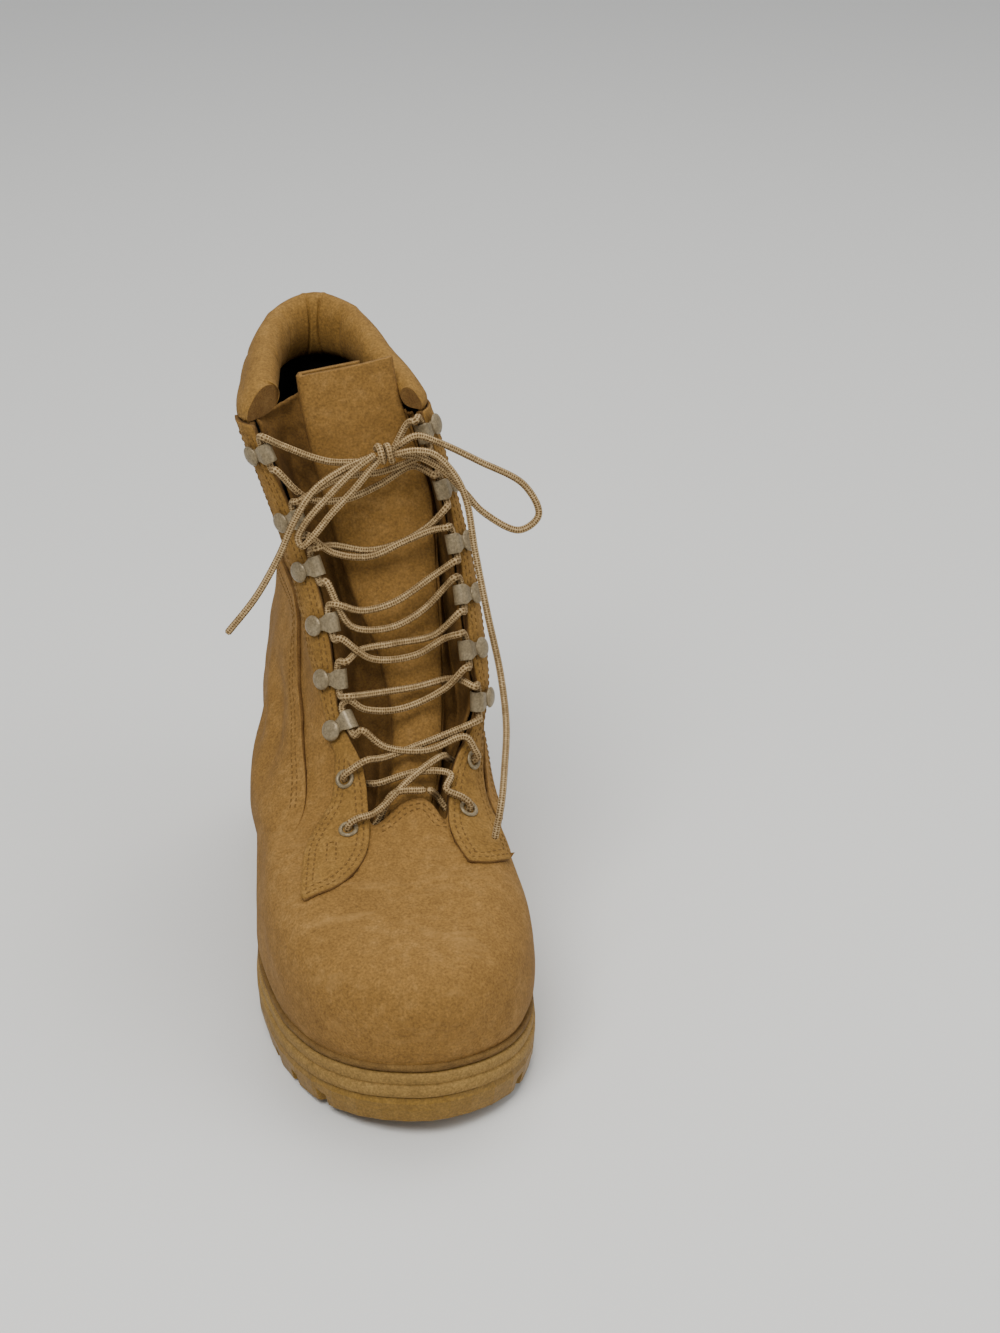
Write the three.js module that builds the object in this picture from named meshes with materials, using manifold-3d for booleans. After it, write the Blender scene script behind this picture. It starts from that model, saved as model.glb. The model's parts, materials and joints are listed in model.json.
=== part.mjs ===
// A right-foot combat boot: lugged outsole, two-step midsole, welt, hollow upper with facing and
// quarter panels, padded collar, tongue, speed hooks, eyelets and a loosely tied lace.
// Millimetres, +Z up, the floor at z = 0, the toe towards -Y, the inner (medial) side towards +X.
import * as THREE from "three";
import { mergeVertices } from "three/addons/utils/BufferGeometryUtils.js";
import Module from "manifold-3d";

const wasm = await Module();
wasm.setup();

// Driving sizes of the sole
const soleLength = 305;
const ballWidth = 115;
const heelWidth = 79;
const outsoleThickness = 11.5;
const midsoleThickness = 12;
const weltThickness = 4;
const toeSpring = 8.5;
const heelLift = 11;
const lugDepth = 5.5;
const waistLift = 8;
const lugGroove = 5;
const lugPitch = 19;
const edgeGroove = 1.6;
const weltInset = 1.2;

// Driving sizes of the upper
const featherInset = 5;
const upperWall = 2.8;
const panelThickness = 1.6;
const shaftHeight = 200;
const shaftWidth = 76;
const collarHeight = 30;
const collarThickness = 15;
const collarEndHeight = 9;
const collarEndThickness = 7;
const backstayWidth = 20;
const insoleThickness = 5;

// Driving sizes of the tongue and the lacing
const tongueThickness = 2.4;
const tongueBow = 5;
const tongueFold = 25;
const foldGap = 2.5;
const hookDisc = 10;
const hookDiscThickness = 1.4;
const hookStripWidth = 8.6;
const hookReach = 10.4;
const hookGauge = 1;
const hookSetback = 5;
const eyeletOuter = 8.5;
const eyeletBore = 4.8;
const eyeletWall = 0.6;
const eyeletSetback = 9;
const laceDiameter = 3;

// The gap that neighbouring pieces keep, and the one under the panels where the instep is hollow
const clearance = 0.3;
const panelGap = 0.8;

// Facets
const aroundSteps = 40;
const upSteps = 15;
const soleSteps = 48;
const laceSides = 6;
const cordSides = 8;

// The edge of the sole, from the toe tip back along the outer side and forward along the inner side
const SOLE_EDGE = [
  { along: -0.5, across: 0.05 * ballWidth },
  { along: -0.479, across: -0.14 * ballWidth },
  { along: -0.426, across: -0.3 * ballWidth },
  { along: -0.345, across: -0.413 * ballWidth },
  { along: -0.246, across: -0.479 * ballWidth },
  { along: -0.157, across: -0.5 * ballWidth },
  { along: -0.049, across: -0.47 * ballWidth },
  { along: 0.082, across: -0.4 * ballWidth },
  { along: 0.213, across: -0.5 * heelWidth },
  { along: 0.344, across: -0.493 * heelWidth },
  { along: 0.443, across: -0.4 * heelWidth },
  { along: 0.492, across: -0.18 * heelWidth },
  { along: 0.5, across: 0 },
  { along: 0.489, across: 0.18 * heelWidth },
  { along: 0.439, across: 0.39 * heelWidth },
  { along: 0.344, across: 0.48 * heelWidth },
  { along: 0.23, across: 0.462 * heelWidth },
  { along: 0.115, across: 0.315 * ballWidth },
  { along: 0.016, across: 0.348 * ballWidth },
  { along: -0.098, across: 0.425 * ballWidth },
  { along: -0.203, across: 0.486 * ballWidth },
  { along: -0.279, across: 0.5 * ballWidth },
  { along: -0.361, across: 0.462 * ballWidth },
  { along: -0.433, across: 0.366 * ballWidth },
  { along: -0.479, across: 0.22 * ballWidth },
];

// How far the sole is lifted along its length, as shares of the toe spring and of the heel lift
const SOLE_LIFT = [
  { along: -0.52, toe: 1.15, heel: 0 },
  { along: -0.46, toe: 0.72, heel: 0 },
  { along: -0.4, toe: 0.36, heel: 0 },
  { along: -0.35, toe: 0.15, heel: 0 },
  { along: -0.3, toe: 0, heel: 0 },
  { along: -0.2, toe: 0, heel: 0 },
  { along: -0.1, toe: 0, heel: 0.03 },
  { along: 0, toe: 0, heel: 0.22 },
  { along: 0.1, toe: 0, heel: 0.58 },
  { along: 0.2, toe: 0, heel: 0.88 },
  { along: 0.3, toe: 0, heel: 1 },
  { along: 0.52, toe: 0, heel: 1 },
];

// The side of the midsole from its foot to its top: shares of its thickness and of the groove's depth
const MIDSOLE_SIDE = [
  { up: 0, inward: 0.4 },
  { up: 0.07, inward: 0 },
  { up: 0.44, inward: 0 },
  { up: 0.49, inward: 1 },
  { up: 0.55, inward: 1 },
  { up: 0.6, inward: 0.35 },
  { up: 0.93, inward: 0.35 },
  { up: 1, inward: 0.9 },
];

// Sections of the upper's inner face from its foot to its top edge. Each lies in a plane from a point on the
// front outline to a point on the back outline. frontY and backY are shares of the sole's length,
// frontZ and backZ of the shaft's height over the welt, widths of the size that the row names.
const UPPER_SECTIONS = [
  { size: ballWidth, frontY: -0.484, frontZ: 0, backY: 0.484, backZ: 0, frontX: 0.05, backX: 0,
    outBall: 0.46, outWaist: 0.4, outHeel: 0.31, inBall: 0.43, inWaist: 0.33, inHeel: 0.3,
    frontRound: 0.2, backRound: 0.13, sole: 1, inset: 1 },
  { size: ballWidth, frontY: -0.489, frontZ: 0.03, backY: 0.4835, backZ: 0.03, frontX: 0.05, backX: 0,
    outBall: 0.48, outWaist: 0.43, outHeel: 0.33, inBall: 0.45, inWaist: 0.36, inHeel: 0.31,
    frontRound: 0.2, backRound: 0.13, sole: 0.95, inset: 0.7 },
  { size: ballWidth, frontY: -0.4895, frontZ: 0.085, backY: 0.4825, backZ: 0.09, frontX: 0.05, backX: 0,
    outBall: 0.485, outWaist: 0.46, outHeel: 0.345, inBall: 0.43, inWaist: 0.37, inHeel: 0.32,
    frontRound: 0.22, backRound: 0.13, sole: 0.7, inset: 0.6 },
  { size: ballWidth, frontY: -0.477, frontZ: 0.15, backY: 0.48, backZ: 0.17, frontX: 0.055, backX: 0,
    outBall: 0.475, outWaist: 0.465, outHeel: 0.345, inBall: 0.4, inWaist: 0.365, inHeel: 0.315,
    frontRound: 0.24, backRound: 0.13, sole: 0.3, inset: 0.5 },
  { size: ballWidth, frontY: -0.43, frontZ: 0.2, backY: 0.465, backZ: 0.25, frontX: 0.065, backX: 0,
    outBall: 0.465, outWaist: 0.456, outHeel: 0.336, inBall: 0.365, inWaist: 0.356, inHeel: 0.306,
    frontRound: 0.29, backRound: 0.13, sole: 0.05, inset: 1 },
  { size: ballWidth, frontY: -0.318, frontZ: 0.245, backY: 0.446, backZ: 0.325, frontX: 0.09, backX: -0.005,
    outBall: 0.432, outWaist: 0.412, outHeel: 0.32, inBall: 0.325, inWaist: 0.338, inHeel: 0.298,
    frontRound: 0.29, backRound: 0.13, sole: 0, inset: 1 },
  { size: ballWidth, frontY: -0.186, frontZ: 0.3, backY: 0.428, backZ: 0.4, frontX: 0.11, backX: -0.01,
    outBall: 0.38, outWaist: 0.38, outHeel: 0.31, inBall: 0.3, inWaist: 0.315, inHeel: 0.285,
    frontRound: 0.2, backRound: 0.13, sole: 0, inset: 1 },
  { size: shaftWidth, frontY: -0.117, frontZ: 0.385, backY: 0.413, backZ: 0.475, frontX: 0.165, backX: -0.02,
    outBall: 0.475, outWaist: 0.512, outHeel: 0.44, inBall: 0.43, inWaist: 0.44, inHeel: 0.414,
    frontRound: 0.12, backRound: 0.13, sole: 0, inset: 1 },
  { size: shaftWidth, frontY: -0.073, frontZ: 0.48, backY: 0.402, backZ: 0.56, frontX: 0.175, backX: -0.03,
    outBall: 0.445, outWaist: 0.436, outHeel: 0.41, inBall: 0.45, inWaist: 0.42, inHeel: 0.404,
    frontRound: 0.085, backRound: 0.13, sole: 0, inset: 1 },
  { size: shaftWidth, frontY: -0.037, frontZ: 0.59, backY: 0.394, backZ: 0.65, frontX: 0.15, backX: -0.045,
    outBall: 0.429, outWaist: 0.392, outHeel: 0.374, inBall: 0.455, inWaist: 0.418, inHeel: 0.394,
    frontRound: 0.075, backRound: 0.13, sole: 0, inset: 1 },
  { size: shaftWidth, frontY: 0.007, frontZ: 0.73, backY: 0.39, backZ: 0.77, frontX: 0.1, backX: -0.08,
    outBall: 0.444, outWaist: 0.394, outHeel: 0.374, inBall: 0.462, inWaist: 0.422, inHeel: 0.384,
    frontRound: 0.072, backRound: 0.13, sole: 0, inset: 1 },
  { size: shaftWidth, frontY: 0.039, frontZ: 0.87, backY: 0.384, backZ: 0.89, frontX: 0.013, backX: -0.125,
    outBall: 0.469, outWaist: 0.414, outHeel: 0.374, inBall: 0.465, inWaist: 0.408, inHeel: 0.365,
    frontRound: 0.07, backRound: 0.13, sole: 0, inset: 1 },
  { size: shaftWidth, frontY: 0.061, frontZ: 1.05, backY: 0.374, backZ: 1, frontX: -0.13, backX: -0.18,
    outBall: 0.494, outWaist: 0.434, outHeel: 0.374, inBall: 0.475, inWaist: 0.385, inHeel: 0.33,
    frontRound: 0.065, backRound: 0.13, sole: 0, inset: 1 },
];

// The throat's edges against its climb, which runs up the instep at 45 degrees. Climb is a share of
// the shaft's height, outer and inner are x of the two edges as shares of the shaft's width, and
// rise, square to the climb, is how deep the opening is cut, a share of the shaft's height.
const THROAT = [
  { climb: 0.12, outer: -0.105, inner: 0.33, rise: 0.42 },
  { climb: 0.175, outer: -0.105, inner: 0.355, rise: 0.42 },
  { climb: 0.215, outer: -0.1, inner: 0.37, rise: 0.42 },
  { climb: 0.275, outer: -0.118, inner: 0.43, rise: 0.41 },
  { climb: 0.32, outer: -0.17, inner: 0.51, rise: 0.41 },
  { climb: 0.39, outer: -0.23, inner: 0.59, rise: 0.43 },
  { climb: 0.5, outer: -0.245, inner: 0.545, rise: 0.475 },
  { climb: 0.61, outer: -0.285, inner: 0.535, rise: 0.51 },
  { climb: 0.72, outer: -0.37, inner: 0.505, rise: 0.57 },
  { climb: 0.825, outer: -0.47, inner: 0.455, rise: 0.63 },
  { climb: 0.93, outer: -0.6, inner: 0.36, rise: 0.67 },
  { climb: 1.01, outer: -0.63, inner: 0.29, rise: 0.69 },
];

// The vamp's top edge between the tabs, from the outer side to the inner side
const VAMP_EDGE = [
  { across: -0.1, climb: 0.128 },
  { across: 0, climb: 0.15 },
  { across: 0.075, climb: 0.172 },
  { across: 0.14, climb: 0.182 },
  { across: 0.2, climb: 0.184 },
  { across: 0.26, climb: 0.168 },
  { across: 0.32, climb: 0.13 },
];

// The tabs' outlines over the vamp, from the throat's edge round the corner
const OUTER_TAB = [
  { across: -0.13, climb: 0.072 },
  { across: -0.2, climb: 0.027 },
  { across: -0.316, climb: -0.01 },
  { across: -0.44, climb: -0.025 },
  { across: -0.535, climb: -0.042 },
  { across: -0.5, climb: 0.04 },
  { across: -0.47, climb: 0.1 },
  { across: -0.4, climb: 0.144 },
  { across: -0.29, climb: 0.206 },
  { across: -0.25, climb: 0.322 },
];
const INNER_TAB = [
  { across: 0.355, climb: 0.077 },
  { across: 0.41, climb: 0.027 },
  { across: 0.52, climb: 0.024 },
  { across: 0.64, climb: 0.033 },
  { across: 0.75, climb: 0.05 },
  { across: 0.75, climb: 0.144 },
];

// The seams behind the facings from their foot upwards, seen from the side: shares of the sole's
// length and of the shaft's height over the welt
const OUTER_SEAM = [
  { along: -0.066, up: 0.05 },
  { along: -0.066, up: 0.425 },
  { along: -0.022, up: 0.508 },
  { along: 0.02, up: 0.575 },
  { along: 0.066, up: 0.71 },
  { along: 0.108, up: 0.875 },
  { along: 0.15, up: 1.1 },
  { along: 0.17, up: 1.3 },
];
const INNER_SEAM = [
  { along: -0.222, up: 0.235 },
  { along: -0.131, up: 0.29 },
  { along: -0.05, up: 0.37 },
  { along: 0, up: 0.48 },
  { along: 0.04, up: 0.6 },
  { along: 0.075, up: 0.73 },
  { along: 0.12, up: 0.9 },
  { along: 0.16, up: 1.1 },
  { along: 0.18, up: 1.3 },
];

// The outlines of the outer and inner quarters seen from the side, from the tip beside the tab up and
// back: along as a share of the sole's length, outer and inner heights as shares of the shaft's height
const QUARTER_EDGE = [
  { along: -0.152, outer: 0.288, inner: 0.272 },
  { along: -0.084, outer: 0.332, inner: 0.315 },
  { along: -0.03, outer: 0.38, inner: 0.36 },
  { along: 0.027, outer: 0.438, inner: 0.42 },
  { along: 0.061, outer: 0.47, inner: 0.47 },
  { along: 0.098, outer: 0.525, inner: 0.525 },
  { along: 0.125, outer: 0.59, inner: 0.59 },
  { along: 0.165, outer: 0.61, inner: 0.61 },
  { along: 0.6, outer: 0.6, inner: 0.6 },
  { along: 0.6, outer: -0.1, inner: -0.1 },
  { along: 0.085, outer: -0.1, inner: -0.1 },
  { along: 0.052, outer: 0.05, inner: 0.05 },
  { along: -0.016, outer: 0.15, inner: 0.15 },
  { along: -0.098, outer: 0.235, inner: 0.235 },
];

// Fasteners from the toe upwards: the climb of each on the outer and on the inner side, as shares of
// the shaft's height
const LACING_ROWS = [
  { kind: "eyelet", outer: 0.124, inner: 0.155 },
  { kind: "eyelet", outer: 0.242, inner: 0.268 },
  { kind: "hook", outer: 0.35, inner: 0.405 },
  { kind: "hook", outer: 0.458, inner: 0.5 },
  { kind: "hook", outer: 0.565, inner: 0.612 },
  { kind: "hook", outer: 0.675, inner: 0.718 },
  { kind: "hook", outer: 0.773, inner: 0.832 },
  { kind: "hook", outer: 0.9, inner: 0.935 },
];

// The lace between one fastener and the next, row by row, as chosen points in front of the tongue:
// shares of the shaft's width and height. The outer lace starts at the lowest outer eyelet.
const OUTER_LACE = [
  [{ across: 0.22, climb: 0.196 }, { across: 0.04, climb: 0.192 }],
  [{ across: 0.16, climb: 0.228 }],
  [{ across: 0.25, climb: 0.286 }, { across: 0.02, climb: 0.3 }],
  [{ across: -0.08, climb: 0.385 }, { across: 0.12, climb: 0.38 }, { across: 0.38, climb: 0.415 }],
  [{ across: 0.4, climb: 0.515 }, { across: 0.22, climb: 0.484 }, { across: -0.02, climb: 0.483 }],
  [{ across: -0.06, climb: 0.58 }, { across: 0.12, climb: 0.592 }, { across: 0.36, climb: 0.642 }],
  [{ across: 0.36, climb: 0.73 }, { across: 0.2, climb: 0.711 }, { across: 0, climb: 0.686 },
    { across: -0.2, climb: 0.698 }],
  [{ across: -0.32, climb: 0.808 }, { across: -0.13, climb: 0.838 }, { across: 0.1, climb: 0.845 }],
  [{ across: 0.25, climb: 0.925 }, { across: 0.15, climb: 0.872 }],
];
const INNER_LACE = [
  [{ across: 0.24, climb: 0.196 }],
  [{ across: 0.37, climb: 0.228 }, { across: 0.2, climb: 0.241 }],
  [{ across: 0, climb: 0.278 }, { across: 0.2, climb: 0.3 }],
  [{ across: 0.44, climb: 0.436 }, { across: 0.21, climb: 0.424 }, { across: -0.06, climb: 0.416 }],
  [{ across: -0.08, climb: 0.504 }, { across: 0.11, climb: 0.513 }, { across: 0.34, climb: 0.525 }],
  [{ across: 0.42, climb: 0.62 }, { across: 0.28, climb: 0.575 }, { across: 0.09, climb: 0.545 },
    { across: -0.12, climb: 0.553 }],
  [{ across: -0.2, climb: 0.715 }, { across: 0, climb: 0.701 }, { across: 0.18, climb: 0.712 },
    { across: 0.34, climb: 0.74 }],
  [{ across: 0.27, climb: 0.855 }, { across: 0.08, climb: 0.824 }, { across: -0.12, climb: 0.8 },
    { across: -0.32, climb: 0.806 }],
  [{ across: -0.45, climb: 0.902 }, { across: -0.2, climb: 0.868 }, { across: 0.02, climb: 0.86 }],
];

// The free lace: the knot's place and the chosen routes of its loops and ends, in millimetres
const KNOT = { x: 8, y: 13.5, z: 230.5 };
const LOOSE_LACE = {
  lace_loop_right: [
    [12.4, 11.2, 233.8], [21, 11.5, 238.5], [30, 12.5, 235], [48, 12.5, 225], [67, 11, 213.5], [72.5, 7.5, 201],
    [64, 5.5, 195.5], [49, 8, 203.5], [41, 9, 213], [31, 10, 224], [20, 11, 230], [14.8, 12, 230],
  ],
  lace_end_right: [
    [11.6, 8.2, 232], [20, 6.5, 234], [28, 6.5, 232], [36, 5, 223.5], [41, 3.5, 212], [44, -2, 190.5],
    [48, -12, 165], [52, -22, 142], [52.5, -36, 125], [49.5, -52, 113], [46.5, -64, 103], [43, -69, 89],
  ],
  lace_loop_left: [
    [3.8, 10.2, 231.8], [-5, 8.5, 226], [-16, 6.5, 216], [-26.5, 4.5, 205], [-30, 3, 198.5], [-28.5, 1.4, 195.8],
    [-24.5, 1.6, 199], [-15, 4.6, 209], [-5, 7, 218.5], [1.5, 9.6, 225.2],
  ],
  lace_end_left: [
    [4, 14.4, 229.4], [-9, 12.5, 225], [-22, 8.5, 218], [-31, 4.5, 206.5], [-38.5, 0.5, 192], [-49, -4, 176],
    [-62, -9.5, 162.5],
  ],
};

// A speed hook's strip from its disc over the facing's edge: shares of the hook's reach and of the
// lace's diameter
const HOOK_STRIP = [
  { reach: 0.2, rise: 0.33 },
  { reach: 0.58, rise: 0.55 },
  { reach: 0.88, rise: 0.55 },
  { reach: 1, rise: 0.2 },
  { reach: 1.04, rise: -0.4 },
  { reach: 0.98, rise: -0.95 },
  { reach: 0.87, rise: -1.15 },
];

// The collar's section from its inner foot over the roll to its outer foot: shares of its thickness
// and height
const COLLAR_SECTION = [
  { out: -0.5, up: 0 },
  { out: -0.9, up: 0.16 },
  { out: -1.08, up: 0.5 },
  { out: -1, up: 0.83 },
  { out: -0.7, up: 1 },
  { out: -0.38, up: 0.92 },
  { out: -0.1, up: 0.62 },
  { out: 0.06, up: 0.28 },
  { out: 0.02, up: 0 },
];

// The collar's height and thickness from its cut ends (0) to the back seam (1), as shares of the
// way from the size at the end to the size at the back
const COLLAR_RUN = [
  { way: 0, high: 0, thick: 0 },
  { way: 0.08, high: 0.1, thick: 0.45 },
  { way: 0.2, high: 0.3, thick: 0.75 },
  { way: 0.4, high: 0.6, thick: 1 },
  { way: 0.7, high: 0.9, thick: 1 },
  { way: 1, high: 1, thick: 1 },
];

// The tongue from its root under the vamp to its top edge: its crown seen from the side as shares of
// the sole's length and the shaft's height, x of its edges as shares of the shaft's width, how far
// the edges fall back, how much of the fold stands behind its outer edge and how far that edge lags
const TONGUE = [
  { along: -0.197, up: 0.26, outer: 0.03, inner: 0.2, bow: 0.1, fold: 0.1, lag: 0 },
  { along: -0.175, up: 0.288, outer: 0.02, inner: 0.21, bow: 0.2, fold: 0.1, lag: 0 },
  { along: -0.147, up: 0.313, outer: 0.03, inner: 0.25, bow: 0.4, fold: 0.12, lag: 0 },
  { along: -0.101, up: 0.355, outer: 0.06, inner: 0.32, bow: 0.6, fold: 0.2, lag: 0 },
  { along: -0.047, up: 0.448, outer: 0.1, inner: 0.37, bow: 0.8, fold: 0.4, lag: 0 },
  { along: -0.005, up: 0.554, outer: 0.06, inner: 0.395, bow: 1, fold: 0.7, lag: 0 },
  { along: 0.043, up: 0.696, outer: -0.08, inner: 0.4, bow: 1, fold: 0.9, lag: 0.004 },
  { along: 0.078, up: 0.843, outer: -0.175, inner: 0.4, bow: 1, fold: 1, lag: 0.01 },
  { along: 0.1, up: 0.983, outer: -0.26, inner: 0.31, bow: 0.8, fold: 1, lag: 0.018 },
  { along: 0.113, up: 1.11, outer: -0.315, inner: 0.215, bow: 0.4, fold: 1, lag: 0.028 },
  { along: 0.116, up: 1.175, outer: -0.33, inner: 0.19, bow: 0.3, fold: 1, lag: 0.035 },
];

// Small helpers

function mix(a, b, share) {
  return a + (b - a) * share;
}

// A smooth curve through the rows of a table, read at one value of its first column.
function readTable(rows, column, key, at) {
  const last = rows.length - 1;
  if (at <= rows[0][column]) return rows[0][key];
  if (at >= rows[last][column]) return rows[last][key];
  let i = 0;
  while (at > rows[i + 1][column]) i += 1;
  const span = rows[i + 1][column] - rows[i][column];
  const slope = (k) => {
    if (k <= 0 || k >= last) return 0;
    const before = (rows[k][key] - rows[k - 1][key]) / (rows[k][column] - rows[k - 1][column]);
    const after = (rows[k + 1][key] - rows[k][key]) / (rows[k + 1][column] - rows[k][column]);
    return before * after <= 0 ? 0 : (2 * before * after) / (before + after);
  };
  const t = (at - rows[i][column]) / span;
  const h = t * t * (3 - 2 * t);
  return (
    mix(rows[i][key], rows[i + 1][key], h) +
    span * (t * (1 - t) * (1 - t) * slope(i) - t * t * (1 - t) * slope(i + 1))
  );
}

// A quarter ellipse: 0 at the end of a section, 1 where its round stretch ends.
function roundEnd(share) {
  return share >= 1 ? 1 : Math.sqrt(Math.max(0, 1 - (1 - share) ** 2));
}

// A closed body from rings of points, which start at the toe and run round: its rings are joined in
// turn, and the last to the first or each end closed by strips from side to side.
function loft(rings, joinEnds = false) {
  const count = rings[0].length;
  const points = rings.flat();
  const faces = [];
  const bands = joinEnds ? rings.length : rings.length - 1;
  for (let r = 0; r < bands; r += 1) {
    const next = (r + 1) % rings.length;
    for (let i = 0; i < count; i += 1) {
      const j = (i + 1) % count;
      const [a, b, c, d] = [r * count + i, r * count + j, next * count + j, next * count + i];
      faces.push(a, b, c, a, c, d);
    }
  }
  if (!joinEnds) {
    for (const [start, turned] of [[0, true], [(rings.length - 1) * count, false]]) {
      for (let i = 0; i < count / 2; i += 1) {
        const j = i + 1;
        const [a, b, c, d] = [start + i, start + j, start + count - j, start + ((count - i) % count)];
        const corners = [[a, b, c], [a, c, d]].filter((t) => new Set(t).size === 3);
        for (const t of corners) faces.push(...(turned ? t.reverse() : t));
      }
    }
  }
  const geometry = new THREE.BufferGeometry().setFromPoints(points);
  geometry.setIndex(faces);
  return geometry;
}

// A solid for cutting and joining from any closed geometry, turned so that its faces point out.
function solid(geometry) {
  const bare = geometry.clone();
  bare.deleteAttribute("normal");
  bare.deleteAttribute("uv");
  const merged = mergeVertices(bare, 1e-4);
  const make = (triVerts) =>
    new wasm.Manifold(
      new wasm.Mesh({ numProp: 3, vertProperties: merged.attributes.position.array, triVerts }),
    );
  const made = make(new Uint32Array(merged.index.array));
  if (made.volume() > 0) return made;
  const turned = new Uint32Array(merged.index.array);
  for (let i = 0; i < turned.length; i += 3) {
    [turned[i + 1], turned[i + 2]] = [turned[i + 2], turned[i + 1]];
  }
  return make(turned);
}

function geometryOf(body) {
  const mesh = body.getMesh();
  const geometry = new THREE.BufferGeometry();
  geometry.setAttribute("position", new THREE.BufferAttribute(new Float32Array(mesh.vertProperties), 3));
  geometry.setIndex(Array.from(mesh.triVerts));
  geometry.computeVertexNormals();
  return geometry;
}

// A prism over an outline of [a, b] pairs, between two values of the third axis. With axis "x" the
// pairs are y and z, with axis "y" they are x and z, and with axis "z" they are x and y.
function prism(outline, low, high, axis) {
  const shape = new THREE.Shape(outline.map(([a, b]) => new THREE.Vector2(a, b)));
  const geometry = new THREE.ExtrudeGeometry(shape, { depth: high - low, bevelEnabled: false });
  geometry.translate(0, 0, low);
  const turn = new THREE.Matrix4();
  if (axis === "x") turn.set(0, 0, 1, 0, 1, 0, 0, 0, 0, 1, 0, 0, 0, 0, 0, 1);
  if (axis === "y") turn.set(1, 0, 0, 0, 0, 0, 1, 0, 0, 1, 0, 0, 0, 0, 0, 1);
  geometry.applyMatrix4(turn);
  return solid(geometry);
}

// The sole

const edgeCurve = new THREE.CatmullRomCurve3(
  SOLE_EDGE.map((row) => new THREE.Vector3(row.across, row.along * soleLength, 0)),
  true,
);
const edgePoints = edgeCurve.getPoints(400);

const heelTip = Math.round((edgePoints.length - 1) * (12 / SOLE_EDGE.length));
const outerEdge = edgePoints.slice(0, heelTip + 1);
const innerEdge = edgePoints.slice(heelTip).reverse();

// x of the sole's edge on one side (-1 outer, 1 inner) at a share of its length from the toe.
function soleEdgeX(side, share) {
  const y = mix(-0.5, 0.5, share) * soleLength;
  const run = side < 0 ? outerEdge : innerEdge;
  const next = run.findIndex((point, i) => i > 0 && y <= point.y);
  if (next < 0) return run[run.length - 1].x;
  const span = run[next].y - run[next - 1].y;
  const part = span > 1e-9 ? Math.max(0, (y - run[next - 1].y) / span) : 0;
  return mix(run[next - 1].x, run[next].x, part);
}

function toeLift(y) {
  return toeSpring * readTable(SOLE_LIFT, "along", "toe", y / soleLength);
}

function footLift(y) {
  return toeLift(y) + heelLift * readTable(SOLE_LIFT, "along", "heel", y / soleLength);
}

function outsoleTop(y) {
  return outsoleThickness + footLift(y);
}

function midsoleTop(y) {
  return outsoleTop(y) + midsoleThickness;
}

function weltTop(y) {
  return midsoleTop(y) + weltThickness;
}

// A ring along the sole's edge, drawn in by a distance, at a height that depends on y. Its points
// lie in pairs at the same y, one on each side.
function soleRing(inset, height, steps = soleSteps) {
  const edge = [];
  for (let i = 0; i < steps; i += 1) {
    const share = (1 - Math.cos((2 * Math.PI * i) / steps)) / 2;
    const side = i < steps / 2 ? -1 : 1;
    edge.push(new THREE.Vector2(soleEdgeX(side, share), mix(-0.5, 0.5, share) * soleLength));
  }
  return edge.map((point, i) => {
    const along = edge[(i + 1) % steps].clone().sub(edge[(i + steps - 1) % steps]).normalize();
    const x = point.x + along.y * inset;
    const y = point.y - along.x * inset;
    return new THREE.Vector3(x, y, height(y));
  });
}

const heelBreast = 0.16 * soleLength;
const foreEnd = -0.07 * soleLength;

function lugGrooveCutter(y, wide, deep, turn) {
  const reach = ballWidth * 1.4;
  const box = new THREE.BoxGeometry(reach, wide, deep + 20);
  box.rotateZ(turn);
  box.translate(0, y, toeLift(y) + deep - (deep + 20) / 2);
  return solid(box);
}

function makeOutsole() {
  const plate = solid(
    loft([
      soleRing(1.6, (y) => toeLift(y)),
      soleRing(0.4, (y) => toeLift(y) + lugDepth),
      soleRing(0, (y) => outsoleTop(y) - 2.5),
      soleRing(1, (y) => outsoleTop(y)),
    ]),
  );
  let body = plate;
  const waist = prism(
    [
      [foreEnd, -10],
      [foreEnd + 12, waistLift],
      [heelBreast - 3, waistLift + 2],
      [heelBreast, -10],
    ],
    -ballWidth,
    ballWidth,
    "x",
  );
  body = body.subtract(waist);
  const fore = Math.floor((foreEnd + 0.5 * soleLength - 18) / lugPitch);
  for (let i = 0; i <= fore; i += 1) {
    const y = foreEnd - 9 - i * lugPitch;
    body = body.subtract(lugGrooveCutter(y, lugGroove, lugDepth, 0));
  }
  const heelRun = 0.5 * soleLength - heelBreast;
  const heelGrooves = Math.floor((heelRun - 20) / lugPitch);
  for (let i = 1; i <= heelGrooves; i += 1) {
    body = body.subtract(lugGrooveCutter(heelBreast + i * lugPitch, lugGroove, lugDepth, 0));
  }
  const channel = (low, high, half) =>
    prism([[-half, low], [half, low], [half, high], [-half, high]], -20, lugDepth, "z");
  body = body.subtract(channel(-0.36 * soleLength, foreEnd - 4, 5));
  body = body.subtract(channel(heelBreast + 12, 0.42 * soleLength, 7));
  return body;
}

function makeMidsole() {
  const rings = MIDSOLE_SIDE.map((row) =>
    soleRing(edgeGroove * row.inward, (y) => outsoleTop(y) + clearance + row.up * (midsoleThickness - clearance)),
  );
  return solid(loft(rings));
}

function makeWelt() {
  const inner = featherInset + upperWall + clearance;
  return solid(
    loft(
      [
        soleRing(inner, (y) => midsoleTop(y) + clearance),
        soleRing(weltInset, (y) => midsoleTop(y) + clearance),
        soleRing(weltInset - 0.4, (y) => midsoleTop(y) + weltThickness * 0.6),
        soleRing(weltInset + 0.4, weltTop),
        soleRing(inner, weltTop),
      ],
      true,
    ),
  );
}

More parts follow.
